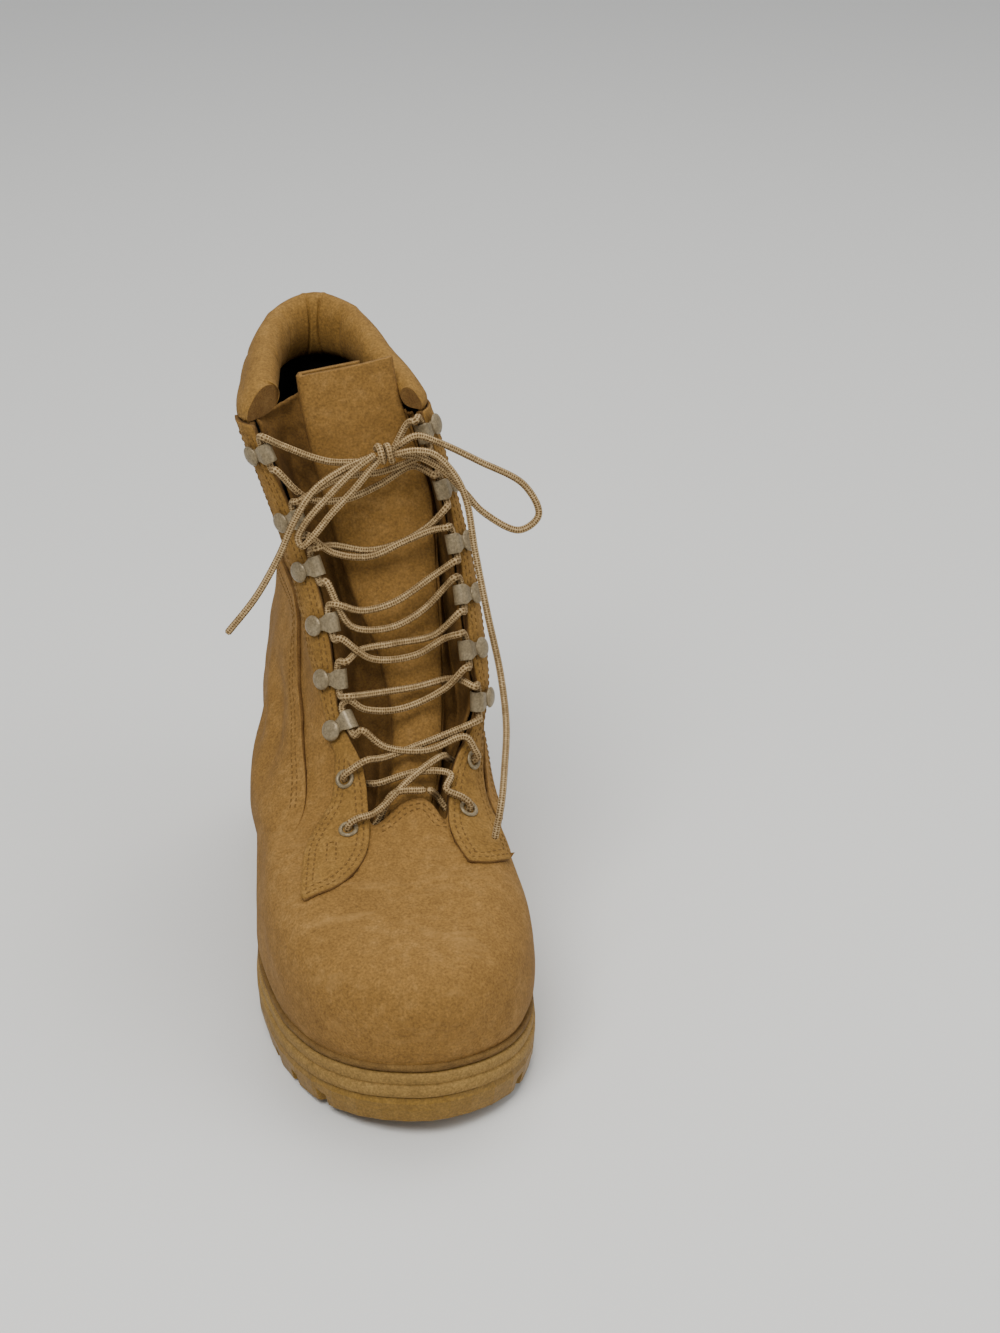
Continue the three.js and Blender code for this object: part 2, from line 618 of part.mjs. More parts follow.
function makeInsole() {
  const inner = featherInset + upperWall + 2 * clearance;
  const top = (y) => weltTop(y) + insoleThickness;
  return solid(
    loft([
      soleRing(inner + 0.2, (y) => midsoleTop(y) + clearance, 40),
      soleRing(inner + 0.2, (y) => weltTop(y) + 1, 40),
      soleRing(inner + 2, (y) => top(y), 40),
    ]),
  );
}

// The upper

const sectionCount = UPPER_SECTIONS.length - 1;

// The section rows in millimetres.
const sections = UPPER_SECTIONS.map((row, index) => ({
  index,
  frontY: row.frontY * soleLength,
  backY: row.backY * soleLength,
  frontZ: weltTop(row.frontY * soleLength) + clearance + row.frontZ * shaftHeight,
  backZ: weltTop(row.backY * soleLength) + clearance + row.backZ * shaftHeight,
  frontX: row.frontX * row.size,
  backX: row.backX * row.size,
  outBall: row.outBall * row.size,
  outWaist: row.outWaist * row.size,
  outHeel: row.outHeel * row.size,
  inBall: row.inBall * row.size,
  inWaist: row.inWaist * row.size,
  inHeel: row.inHeel * row.size,
  frontRound: row.frontRound * soleLength,
  backRound: row.backRound * soleLength,
  sole: row.sole,
  inset: row.inset * featherInset,
}));

function sectionAt(up) {
  const row = {};
  for (const key of Object.keys(sections[0])) {
    row[key] = readTable(sections, "index", key, up * sectionCount);
  }
  return row;
}

// A point of the upper's inner face. up runs from its foot (0) to its top edge (1), around from the
// front by the outer side (under 0.5) to the back seam (0.5) and by the inner side to the front.
function facePoint(up, around) {
  const row = sectionAt(up);
  const share = (1 - Math.cos(2 * Math.PI * around)) / 2;
  const side = around >= 0 && around < 0.5 ? -1 : 1;
  const y = mix(row.frontY, row.backY, share);
  const run = row.backY - row.frontY;
  const level = mix(row.frontZ, row.backZ, share);
  const sag = weltTop(y) - mix(weltTop(row.frontY), weltTop(row.backY), share);
  const [ball, waist, heel] =
    side < 0 ? [row.outBall, row.outWaist, row.outHeel] : [row.inBall, row.inWaist, row.inHeel];
  const widths = [
    { at: -0.2, w: mix(ball, waist, -0.25) },
    { at: 0.2, w: ball },
    { at: 0.5, w: waist },
    { at: 0.8, w: heel },
    { at: 1.2, w: mix(heel, waist, -0.25) },
  ];
  const width =
    readTable(widths, "at", "w", share) *
    roundEnd((share * run) / row.frontRound) *
    roundEnd(((1 - share) * run) / row.backRound);
  const section = mix(row.frontX, row.backX, share) + side * width;
  const edge = soleEdgeX(side, share) * (1 - (2 * row.inset) / ballWidth);
  return new THREE.Vector3(mix(section, edge, row.sole), y, level + sag * row.sole);
}

// The outward normal of the upper.
function faceNormal(up, around) {
  const step = 1e-3;
  const low = Math.max(0, up - step);
  const high = Math.min(1, up + step);
  const alongUp = facePoint(high, around).sub(facePoint(low, around));
  const alongRound = facePoint(up, around + step).sub(facePoint(up, around - step));
  return alongUp.cross(alongRound).normalize();
}

// A point off the upper's inner face by a distance, level with it at the foot and at the top edge.
function offFace(up, around, out) {
  const normal = faceNormal(up, around);
  if (up <= 0 || up >= 1) {
    normal.z = 0;
    normal.normalize();
  }
  const point = facePoint(up, around).addScaledVector(normal, out);
  if (up <= 0) point.z = weltTop(point.y) + clearance;
  return point;
}

function faceRing(up, out, steps = aroundSteps) {
  const ring = [];
  for (let i = 0; i < steps; i += 1) ring.push(offFace(up, i / steps, out));
  return ring;
}

// A shell between two distances off the upper's face and between two heights.
function faceShell(inner, outer, low = 0, high = 1, rows = upSteps) {
  const rings = [];
  for (let i = 0; i <= rows; i += 1) rings.push(faceRing(mix(low, high, i / rows), outer));
  for (let i = rows; i >= 0; i -= 1) rings.push(faceRing(mix(low, high, i / rows), inner));
  return solid(loft(rings, true));
}

// The instep's own frame: the climb runs up and back at 45 degrees, the rise up and forward.
const diagonal = Math.SQRT1_2;
const farRise = 2 * shaftHeight;

function climbOf(point) {
  return (point.y + point.z) * diagonal;
}

function instepPoint(x, climb, rise) {
  return new THREE.Vector3(x, (climb - rise) * diagonal, (climb + rise) * diagonal);
}

// A prism over [x, climb] pairs from one rise to far in front of the instep.
function instepPrism(outline, rise) {
  const shape = new THREE.Shape(outline.map(([a, b]) => new THREE.Vector2(a, b)));
  const geometry = new THREE.ExtrudeGeometry(shape, { depth: farRise - rise, bevelEnabled: false });
  geometry.translate(0, 0, rise);
  const turn = new THREE.Matrix4();
  turn.set(1, 0, 0, 0, 0, diagonal, -diagonal, 0, 0, diagonal, diagonal, 0, 0, 0, 0, 1);
  geometry.applyMatrix4(turn);
  return solid(geometry);
}

const acrossPairs = (rows) => rows.map((row) => [row.across * shaftWidth, row.climb * shaftHeight]);

function sidePairs(rows) {
  return rows.map((row) => [row.along * soleLength, weltTop(0) + row.up * shaftHeight]);
}

function throatEdgeX(side, climb) {
  return shaftWidth * readTable(THROAT, "climb", side < 0 ? "outer" : "inner", climb / shaftHeight);
}

// The opening between the facings.
function makeThroat() {
  const rings = THROAT.map((row) => {
    const climb = row.climb * shaftHeight;
    const [outer, inner] = [throatEdgeX(-1, climb), throatEdgeX(1, climb)];
    const near = row.rise * shaftHeight;
    return [
      instepPoint(outer, climb, near),
      instepPoint(inner, climb, near),
      instepPoint(inner, climb, farRise),
      instepPoint(outer, climb, farRise),
    ];
  });
  return solid(loft(rings));
}

// What the vamp's top edge keeps of the opening, below its arc.
function makeVampZone() {
  const arc = acrossPairs(VAMP_EDGE);
  const below = [[arc.at(-1)[0], 0], [arc[0][0], 0]];
  return instepPrism([...arc, ...below], 0.3 * shaftHeight);
}

// The zone of one facing: its tab over the vamp and its strip up the shaft, in front of its seam.
function makeFacingZone(side) {
  const tab = acrossPairs(side < 0 ? OUTER_TAB : INNER_TAB);
  const split = tab.at(-1)[1];
  const throat = THROAT.map((row) => row.climb * shaftHeight).filter((climb) => climb < split);
  const inside = throat.map((climb) => [throatEdgeX(side, climb), climb]).reverse();
  const top = [[tab.at(-1)[0], split + 1], [inside[0][0], split + 1]];
  const front = instepPrism([...top, ...inside, ...tab], 0.3 * shaftHeight);
  const strip = instepPrism(
    [[0, split], [side * ballWidth, split], [side * ballWidth, 2 * shaftHeight], [0, 2 * shaftHeight]],
    -shaftHeight,
  );
  const seam = sidePairs(side < 0 ? OUTER_SEAM : INNER_SEAM);
  const ahead = prism(
    [...seam, [-soleLength, seam.at(-1)[1]], [-soleLength, seam[0][1]]],
    -ballWidth,
    ballWidth,
    "x",
  );
  return front.add(strip).intersect(ahead);
}

// The strip over the back seam, as wide as asked, from the foot to the top edge.
function makeBackZone(width) {
  const line = sections.map((row) => [row.backX, row.backZ]);
  const ends = [[line[0][0], 0], ...line, [line.at(-1)[0], 2 * shaftHeight]];
  const left = ends.map(([x, z]) => [x - width / 2, z]);
  const right = ends.map(([x, z]) => [x + width / 2, z]).reverse();
  return prism([...left, ...right], 0.2 * soleLength, soleLength, "y");
}

const panelInner = upperWall + panelGap;
const facingOut = panelInner + panelThickness;
const upperBody = faceShell(0, upperWall);
const panelBody = faceShell(panelInner, facingOut);
const throat = makeThroat();

function makeUpper() {
  return upperBody.subtract(throat.subtract(makeVampZone())).subtract(eyeletHoles);
}

function makeFacing(side) {
  return panelBody.intersect(makeFacingZone(side)).subtract(throat).subtract(eyeletHoles).subtract(seatCuts);
}

function makeQuarter(side) {
  const low = side < 0 ? -ballWidth : 0;
  const edge = QUARTER_EDGE.map((row) => ({ along: row.along, up: side < 0 ? row.outer : row.inner }));
  const zone = prism(sidePairs(edge), low, low + ballWidth, "x");
  const quarter = panelBody.intersect(zone).subtract(makeBackZone(backstayWidth + 2 * clearance));
  return quarter.subtract(upperBody);
}

function makeBackstay() {
  return panelBody.intersect(makeBackZone(backstayWidth));
}

// Where a fastener sits: a frame on the facing's outer face with edge pointing at the throat, out
// away from the face and up along the climb.
function facingPoint(climb, around) {
  let [low, high] = [0, 1];
  for (let i = 0; i < 24; i += 1) {
    const middle = (low + high) / 2;
    if (climbOf(offFace(middle, around, facingOut)) < climb) low = middle;
    else high = middle;
  }
  return { up: low, point: offFace(low, around, facingOut) };
}

function seatAt(side, climb, setback) {
  const turn = (away) => (side < 0 ? away : 1 - away);
  const search = (reached, level) => {
    let [low, high] = [1e-4, 0.3];
    for (let i = 0; i < 20; i += 1) {
      const middle = (low + high) / 2;
      if (reached(facingPoint(level, turn(middle)).point)) high = middle;
      else low = middle;
    }
    return turn(low);
  };
  const outside = (point) => side * (point.x - throatEdgeX(side, climbOf(point))) > 0;
  const rimAt = (level) => facingPoint(level, search(outside, level)).point;
  const rim = rimAt(climb);
  const around = search((point) => outside(point) && point.distanceTo(rim) > setback, climb);
  const { up, point } = facingPoint(climb, around);
  const out = faceNormal(up, around);
  const climbing = rimAt(climb + 2).sub(rimAt(climb - 2));
  climbing.addScaledVector(out, -climbing.dot(out)).normalize();
  const edge = climbing.clone().cross(out).multiplyScalar(-side);
  return { side, point, edge, out, climbing };
}

function fromSeat(seat, edge, out, climbing) {
  return seat.point
    .clone()
    .addScaledVector(seat.edge, edge)
    .addScaledVector(seat.out, out)
    .addScaledVector(seat.climbing, climbing);
}

// Turns geometry made with x towards the throat, y up the climb and z outwards onto a seat.
function ontoSeat(geometry, seat) {
  const frame = new THREE.Matrix4().makeBasis(seat.edge, seat.climbing, seat.out);
  frame.setPosition(seat.point);
  geometry.applyMatrix4(frame);
  return solid(geometry);
}

const seats = LACING_ROWS.flatMap((row, index) =>
  [-1, 1].map((side) => {
    const setback = row.kind === "hook" ? hookSetback : eyeletSetback;
    const climb = (side < 0 ? row.outer : row.inner) * shaftHeight;
    return { kind: row.kind, index, ...seatAt(side, climb, setback) };
  }),
);

function makeHook(seat) {
  const disc = new THREE.CylinderGeometry(hookDisc / 2, hookDisc / 2, hookDiscThickness, 10);
  disc.rotateX(Math.PI / 2);
  disc.translate(0, 0, clearance + hookDiscThickness / 2);
  const line = HOOK_STRIP.map((row) => new THREE.Vector2(row.reach * hookReach, row.rise * laceDiameter));
  const offset = (distance) =>
    line.map((point, i) => {
      const before = line[Math.max(0, i - 1)];
      const after = line[Math.min(line.length - 1, i + 1)];
      const along = after.clone().sub(before).normalize();
      return new THREE.Vector2(point.x - along.y * distance, point.y + along.x * distance);
    });
  const outline = [...offset(hookGauge / 2), ...offset(-hookGauge / 2).reverse()];
  const strip = new THREE.ExtrudeGeometry(new THREE.Shape(outline), {
    depth: hookStripWidth,
    bevelEnabled: false,
  });
  strip.translate(0, 0, -hookStripWidth / 2);
  strip.rotateX(Math.PI / 2);
  return ontoSeat(disc, seat).add(ontoSeat(strip, seat));
}

function makeEyelet(seat) {
  const bore = eyeletBore / 2;
  const barrel = bore + eyeletWall;
  const flange = eyeletOuter / 2;
  const profile = [
    [bore, -facingOut - 0.4],
    [barrel, -facingOut - 0.4],
    [barrel, clearance],
    [flange, clearance],
    [flange - 0.4, clearance + 0.9],
    [bore + 0.3, clearance + 0.9],
    [bore, -facingOut - 0.4],
  ].map(([x, y]) => new THREE.Vector2(x, y));
  const turned = new THREE.LatheGeometry(profile, 10);
  turned.rotateX(Math.PI / 2);
  return ontoSeat(turned, seat);
}

function makeEyeletHoles() {
  const holes = seats
    .filter((seat) => seat.kind === "eyelet")
    .map((seat) => {
      const radius = eyeletBore / 2 + eyeletWall + clearance;
      const hole = new THREE.CylinderGeometry(radius, radius, 4 * facingOut, 12);
      hole.rotateX(Math.PI / 2);
      return ontoSeat(hole, seat);
    });
  return holes.reduce((all, hole) => all.add(hole));
}

const eyeletHoles = makeEyeletHoles();

// Flat places under the fasteners where the facing is hollow.
function makeSeatCuts() {
  const cuts = seats.map((seat) => {
    const radius = seat.kind === "hook" ? hookDisc * 0.7 : eyeletOuter / 2 + clearance;
    const cut = new THREE.CylinderGeometry(radius, radius, hookDisc, 8);
    cut.rotateX(Math.PI / 2);
    cut.translate(0, 0, hookDisc / 2);
    return ontoSeat(cut, seat);
  });
  return cuts.reduce((all, cut) => all.add(cut));
}

const seatCuts = makeSeatCuts();

// The collar: a padded roll on the top edge, from one side of the throat round the back to the other.
function collarEnd(side) {
  let [low, high] = [1e-3, 0.3];
  for (let i = 0; i < 24; i += 1) {
    const middle = (low + high) / 2;
    const point = offFace(1, side < 0 ? middle : 1 - middle, upperWall);
    if (side * (point.x - throatEdgeX(side, climbOf(point))) > 0) high = middle;
    else low = middle;
  }
  return low;
}

function makeCollar() {
  const [first, last] = [collarEnd(-1), 1 - collarEnd(1)];
  const places = [first];
  for (let i = 1; i < aroundSteps; i += 1) {
    if (i / aroundSteps > first + 0.004 && i / aroundSteps < last - 0.004) places.push(i / aroundSteps);
  }
  places.push(last);
  const rings = places.map((around) => {
    const way = around < 0.5 ? (around - first) / (0.5 - first) : (last - around) / (last - 0.5);
    const high = mix(collarEndHeight, collarHeight, readTable(COLLAR_RUN, "way", "high", way));
    const thick = mix(collarEndThickness, collarThickness, readTable(COLLAR_RUN, "way", "thick", way));
    const seat = offFace(1, around, upperWall);
    const out = faceNormal(1, around).setZ(0).normalize();
    return COLLAR_SECTION.map((row) => {
      const point = seat.clone().addScaledVector(out, row.out * thick);
      point.z = seat.z + clearance + row.up * high;
      return point;
    });
  });
  return solid(loft(rings));
}

// The tongue: a leather strip, bowed across and folded back at its outer edge.
function makeTongue() {
  const crown = TONGUE.map((row) => new THREE.Vector2(row.along * soleLength, sidePairs([row])[0][1]));
  const rings = TONGUE.map((row, i) => {
    const before = crown[Math.max(0, i - 1)];
    const after = crown[Math.min(crown.length - 1, i + 1)];
    const run = after.clone().sub(before).normalize();
    const [outer, inner] = [row.outer * shaftWidth, row.inner * shaftWidth];
    const at = (x, back) => {
      const share = (2 * (x - outer)) / (inner - outer) - 1;
      const fall = back + tongueBow * row.bow * share * share;
      const lag = row.lag * shaftHeight * (1 - share) / 2;
      const y = crown[i].x + run.y * fall - run.x * lag;
      return new THREE.Vector3(x, y, crown[i].y - run.x * fall - run.y * lag);
    };
    const half = tongueThickness / 2;
    const across = (share, back) => at(mix(inner, outer, share), back);
    const foldEnd = outer + row.fold * tongueFold;
    const behind = half + foldGap * Math.min(1, row.fold * 2);
    const outside = [0.06, 0.3, 0.5, 0.7, 0.9, 1].map((share) => across(share, -half));
    const inside = [0.06, 0.3, 0.5, 0.7, 0.9, 0.97].map((share) => across(share, half));
    const foldOutside = [at(outer - 1.2, behind / 2), at(outer, behind + half * 2), at(foldEnd, behind + half * 2)];
    const foldInside = [at(outer + 1.5, half + 0.1), at(outer + 1.5, behind), at(foldEnd, behind)];
    return [
      across(0, 0),
      ...outside,
      ...foldOutside,
      at(foldEnd + 1, behind + half),
      ...foldInside.reverse(),
      ...inside.reverse(),
    ];
  });
  return solid(loft(rings));
}

// The lace

const laceRadius = laceDiameter / 2;
const laceReach = hookReach * 0.72;
const laceSink = 0.7;
const knotReach = 2.2;

// The line that the lace follows up the instep, from where it passes the fasteners of both sides.
const laceLine = LACING_ROWS.map((row, index) => {
  const [outer, inner] = [seats[2 * index], seats[2 * index + 1]].map((seat) => {
    return fromSeat(seat, laceReach, row.kind === "hook" ? -laceSink : laceRadius, 0);
  });
  const middle = outer.lerp(inner, 0.5);
  return { climb: climbOf(middle), y: middle.y, z: middle.z };
});

function lacePoint(row, fore) {
  const climb = row.climb * shaftHeight;
  const y = readTable(laceLine, "climb", "y", climb);
  return instepPoint(row.across * shaftWidth, climb, climb - y / diagonal + fore);
}

// Through a hook from below to above, under its strip and beside the facing's edge.
function throughHook(seat) {
  const half = hookStripWidth / 2;
  const beside = laceReach + 1.3;
  const past = hookReach + laceDiameter;
  return [
    fromSeat(seat, past, 1, -half - laceDiameter),
    fromSeat(seat, beside, 0, -half - laceDiameter),
    fromSeat(seat, laceReach, -laceSink, -half + 1),
    fromSeat(seat, laceReach, -laceSink, half - 1),
    fromSeat(seat, beside, -laceSink, half + laceDiameter),
    fromSeat(seat, past, 0, half + laceDiameter),
  ];
}

// Under the leather from the throat and out through an eyelet.
function outOfEyelet(seat, climbing) {
  const under = facingOut + clearance + laceRadius;
  return [
    fromSeat(seat, eyeletSetback + laceDiameter, -under + 0.6, climbing),
    fromSeat(seat, eyeletSetback - 1.5, -under - 1, climbing * 0.6),
    fromSeat(seat, 2.2, -under - 1.8, climbing * 0.15),
    fromSeat(seat, 0, -under + 0.6, 0),
    fromSeat(seat, 0, 1.2, 0),
  ];
}

// From an eyelet over its flange towards the throat.
function overEyelet(seat, climbing) {
  const over = clearance + 0.9 + clearance + laceRadius;
  return [
    fromSeat(seat, 1.4, over + 0.5, climbing * 0.1),
    fromSeat(seat, 5, over + 1, climbing * 0.4),
    fromSeat(seat, eyeletSetback + laceDiameter, over, climbing),
  ];
}

// One half of the lace from the middle of its lowest bar to beside the knot.
function laceRoute(firstSide, runs, fore) {
  const points = [];
  LACING_ROWS.forEach((row, index) => {
    const side = index === 0 || index % 2 === 0 ? firstSide : -firstSide;
    const seat = seats[2 * index + (side < 0 ? 0 : 1)];
    points.push(...runs[index].map((place) => lacePoint(place, index === 0 ? -2 : fore)));
    if (row.kind === "hook") points.push(...throughHook(seat));
    else points.push(...outOfEyelet(seat, index === 0 ? 7 : -4), ...overEyelet(seat, 4));
  });
  points.push(...runs.at(-1).map((place, i) => lacePoint(place, fore + i * knotReach)));
  return points;
}

// A closed tube with rings at a route's points and between those that lie far apart.
function laceTube(route, radius, sides) {
  const curve = new THREE.CatmullRomCurve3(route, false, "centripetal");
  const stops = [];
  for (let i = 0; i < route.length - 1; i += 1) {
    const pieces = Math.max(1, Math.min(2, Math.round(route[i].distanceTo(route[i + 1]) / 9)));
    for (let k = 0; k < pieces; k += 1) stops.push((i + k / pieces) / (route.length - 1));
  }
  stops.push(1);
  let across = new THREE.Vector3(0, 0, 1);
  const rings = stops.map((stop) => {
    const along = curve.getTangent(stop);
    across = across.clone().addScaledVector(along, -across.dot(along)).normalize();
    const third = along.clone().cross(across);
    const centre = curve.getPoint(stop);
    return Array.from({ length: sides }, (_, k) => {
      const turn = (2 * Math.PI * k) / sides;
      return centre
        .clone()
        .addScaledVector(across, radius * Math.cos(turn))
        .addScaledVector(third, radius * Math.sin(turn));
    });
  });
  return solid(loft(rings));
}

function makeLaceCrossings() {
  const outer = laceTube(laceRoute(-1, OUTER_LACE, 0.9), laceRadius, laceSides);
  const inner = laceTube(laceRoute(1, INNER_LACE, -0.9), laceRadius, laceSides);
  return outer.add(inner);
}

// A free length of lace along chosen points.
function makeCord(points, steps) {
  const curve = new THREE.CatmullRomCurve3(points, false, "centripetal");
  const section = new THREE.Shape();
  section.absarc(0, 0, laceRadius, 0, 2 * Math.PI);
  const ring = new THREE.Shape(section.getPoints(cordSides / 2).slice(0, cordSides));
  return solid(new THREE.ExtrudeGeometry(ring, { steps, extrudePath: curve, bevelEnabled: false }));
}

// The knot: the lace wound round itself.
function makeKnot() {
  const turns = 1.75;
  const points = Array.from({ length: 15 }, (_, i) => {
    const share = i / 14;
    const angle = 2 * Math.PI * turns * share;
    const wind = laceDiameter * 1.05;
    return new THREE.Vector3(
      KNOT.x + (share - 0.5) * turns * laceDiameter * 1.25,
      KNOT.y + wind * Math.cos(angle),
      KNOT.z + wind * Math.sin(angle),
    );
  });
  return makeCord(points, 30);
}

const outsole = makeOutsole();
const group = new THREE.Group();

function addPiece(name, body, colour, roughness, metalness = 0) {
  const material = new THREE.MeshStandardMaterial({ color: colour, roughness, metalness });
  const mesh = new THREE.Mesh(geometryOf(body), material);
  mesh.name = name;
  group.add(mesh);
}

addPiece("outsole", outsole, 0xbe873c, 0.6);
addPiece("midsole", makeMidsole(), 0xb48c5a, 0.8);
addPiece("welt", makeWelt(), 0xa87c48, 0.85);
addPiece("insole", makeInsole(), 0x1c1a18, 0.95);
addPiece("upper", makeUpper(), 0xb0824e, 0.95);
addPiece("facing_lateral", makeFacing(-1), 0xb0824e, 0.95);
addPiece("facing_medial", makeFacing(1), 0xb0824e, 0.95);
addPiece("quarter_lateral", makeQuarter(-1), 0xa97b48, 0.95);
addPiece("quarter_medial", makeQuarter(1), 0xa97b48, 0.95);
addPiece("backstay", makeBackstay(), 0xa97b48, 0.95);
addPiece("collar", makeCollar(), 0xb98a54, 0.95);
addPiece("tongue", makeTongue(), 0xb0824e, 0.95);
for (const seat of seats) {
  const name = `${seat.side < 0 ? "lateral" : "medial"}_${seat.kind === "hook" ? seat.index - 1 : seat.index + 1}`;
  if (seat.kind === "hook") addPiece(`hook_${name}`, makeHook(seat), 0x8f7f62, 0.5, 0.4);
  else addPiece(`eyelet_${name}`, makeEyelet(seat), 0x8f7f62, 0.5, 0.4);
}
addPiece("lace_crossings", makeLaceCrossings(), 0xc4a878, 0.9);
addPiece("lace_knot", makeKnot(), 0xc4a878, 0.9);
for (const [name, route] of Object.entries(LOOSE_LACE)) {
  const points = route.map(([x, y, z]) => new THREE.Vector3(x, y, z));
  addPiece(name, makeCord(points, 2 * route.length), 0xc4a878, 0.9);
}

export default group;
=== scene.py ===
"""Looks of a right-foot combat boot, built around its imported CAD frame.

The row frame is used throughout: +Z up, the floor at z = 0, the toe towards -Y and the inner (medial)
side towards +X. Shapes are worked out in millimetres and turned to metres when a mesh is written.
"""

from __future__ import annotations

import json
import logging
import math
from dataclasses import dataclass, field
from enum import Enum
from typing import Callable, Iterable, Sequence

import bmesh
import bpy
import numpy as np
from mathutils import Matrix, Vector
from mathutils.kdtree import KDTree

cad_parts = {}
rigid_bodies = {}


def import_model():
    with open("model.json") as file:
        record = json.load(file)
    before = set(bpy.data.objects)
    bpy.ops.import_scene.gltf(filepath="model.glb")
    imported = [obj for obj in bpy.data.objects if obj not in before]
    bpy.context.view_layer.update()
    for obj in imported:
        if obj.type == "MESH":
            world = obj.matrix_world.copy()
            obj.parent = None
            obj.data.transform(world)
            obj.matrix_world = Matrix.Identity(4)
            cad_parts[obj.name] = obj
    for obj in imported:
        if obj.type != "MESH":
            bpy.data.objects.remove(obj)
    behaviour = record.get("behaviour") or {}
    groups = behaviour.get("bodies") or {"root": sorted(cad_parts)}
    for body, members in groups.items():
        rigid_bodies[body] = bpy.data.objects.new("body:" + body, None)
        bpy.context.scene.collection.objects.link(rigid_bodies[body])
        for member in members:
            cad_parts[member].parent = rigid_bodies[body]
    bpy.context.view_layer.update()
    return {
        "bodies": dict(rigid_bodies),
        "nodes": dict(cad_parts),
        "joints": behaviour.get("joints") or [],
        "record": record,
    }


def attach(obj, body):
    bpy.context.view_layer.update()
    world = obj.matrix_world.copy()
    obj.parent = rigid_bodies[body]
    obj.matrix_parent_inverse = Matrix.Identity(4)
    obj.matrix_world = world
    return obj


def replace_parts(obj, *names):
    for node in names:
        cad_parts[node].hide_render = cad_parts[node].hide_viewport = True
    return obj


LOG = logging.getLogger("boot")
MM = 0.001

# Driving sizes in millimetres, the same as the frame's
SOLE_LENGTH = 305.0
BALL_WIDTH = 115.0
HEEL_WIDTH = 79.0
OUTSOLE_THICKNESS = 11.5
MIDSOLE_THICKNESS = 12.0
WELT_THICKNESS = 4.0
TOE_SPRING = 8.5
HEEL_LIFT = 11.0
FEATHER_INSET = 5.0
UPPER_WALL = 2.8
SHAFT_HEIGHT = 200.0
SHAFT_WIDTH = 76.0
COLLAR_HEIGHT = 30.0
COLLAR_THICKNESS = 15.0
COLLAR_END_HEIGHT = 9.0
COLLAR_END_THICKNESS = 7.0
BACKSTAY_WIDTH = 20.0
TONGUE_BOW = 5.0
TONGUE_FOLD = 25.0
PANEL_OUT = 5.2
PANEL_THICKNESS = 2.3
HOOK_STRIP_WIDTH = 8.6
HOOK_REACH = 10.4
HOOK_SETBACK = 5.0
EYELET_OUTER = 8.5
EYELET_BORE = 4.8
EYELET_SETBACK = 9.0
LACE_DIAMETER = 3.0
LACE_SEAT = 0.72 * HOOK_REACH
LACE_STEP = 0.9
CLEARANCE = 0.3
DIAGONAL = math.sqrt(0.5)

# Values that only the looks have, sizes in millimetres
OUTER_END_HEIGHT = 13.0
OUTER_END_THICKNESS = 17.0
INNER_END_THICKNESS = COLLAR_END_THICKNESS + 2
UPPER_SEAMS = (2.4, 4.8)
FACING_SEAMS = (2.4, 5.0)
QUARTER_SEAMS = (4.2, 6.6)
BACKSTAY_SEAMS = (2.4,)
SEAM_FOOT = 7.0
FACING_SEAM_TOP = 238.0
BACKSTAY_SEAM_TOP = 236.0
FLUSH_REACH = 17.0
VAMP_SEAM_TOP = 0.19 * SHAFT_HEIGHT / DIAGONAL
SPIN_STEPS = 28
MIDSOLE_STEP = 1.6


@dataclass(frozen=True)
class Table:
    """A short table with named columns, read as a smooth curve."""

    columns: tuple[str, ...]
    rows: tuple[tuple[float, ...], ...]

    def column(self, name: str) -> list[float]:
        """Values of one column.

        Args:
            name: The column's name.

        Returns:
            The column's values in row order.
        """
        index = self.columns.index(name)
        return [row[index] for row in self.rows]

    def read(self, key: str, name: str, at: float) -> float:
        """Value of a column where another column has a value.

        Args:
            key: The column that rises from row to row.
            name: The column to read.
            at: The value of the key column.

        Returns:
            The smooth value of the named column.
        """
        return smooth_read(self.column(key), self.column(name), at)


def smooth_read(keys: Sequence[float], values: Sequence[float], at: float) -> float:
    """Reads a monotone cubic curve.

    Args:
        keys: Rising keys.
        values: Values at the keys.
        at: The key to read at.

    Returns:
        The value there.
    """
    last = len(keys) - 1
    if at <= keys[0]:
        return values[0]
    if at >= keys[last]:
        return values[last]
    i = 0
    while at > keys[i + 1]:
        i += 1

    def slope(k: int) -> float:
        """Slope of the curve at a key.

        Args:
            k: The key's number.

        Returns:
            The slope, 0 at both ends and where the values turn.
        """
        if k <= 0 or k >= last:
            return 0.0
        before = (values[k] - values[k - 1]) / (keys[k] - keys[k - 1])
        after = (values[k + 1] - values[k]) / (keys[k + 1] - keys[k])
        return 0.0 if before * after <= 0 else 2 * before * after / (before + after)

    span = keys[i + 1] - keys[i]
    t = (at - keys[i]) / span
    h = t * t * (3 - 2 * t)
    bend = t * (1 - t) * (1 - t) * slope(i) - t * t * (1 - t) * slope(i + 1)
    return values[i] + (values[i + 1] - values[i]) * h + span * bend


SOLE_EDGE = Table(
    ("along", "across", "heel"),
    (
        (-0.5, 0.05, 0), (-0.479, -0.14, 0), (-0.426, -0.3, 0), (-0.345, -0.413, 0), (-0.246, -0.479, 0),
        (-0.157, -0.5, 0), (-0.049, -0.47, 0), (0.082, -0.4, 0), (0.213, -0.5, 1), (0.344, -0.493, 1),
        (0.443, -0.4, 1), (0.492, -0.18, 1), (0.5, 0, 1), (0.489, 0.18, 1), (0.439, 0.39, 1), (0.344, 0.48, 1),
        (0.23, 0.462, 1), (0.115, 0.315, 0), (0.016, 0.348, 0), (-0.098, 0.425, 0), (-0.203, 0.486, 0),
        (-0.279, 0.5, 0), (-0.361, 0.462, 0), (-0.433, 0.366, 0), (-0.479, 0.22, 0),
    ),
)

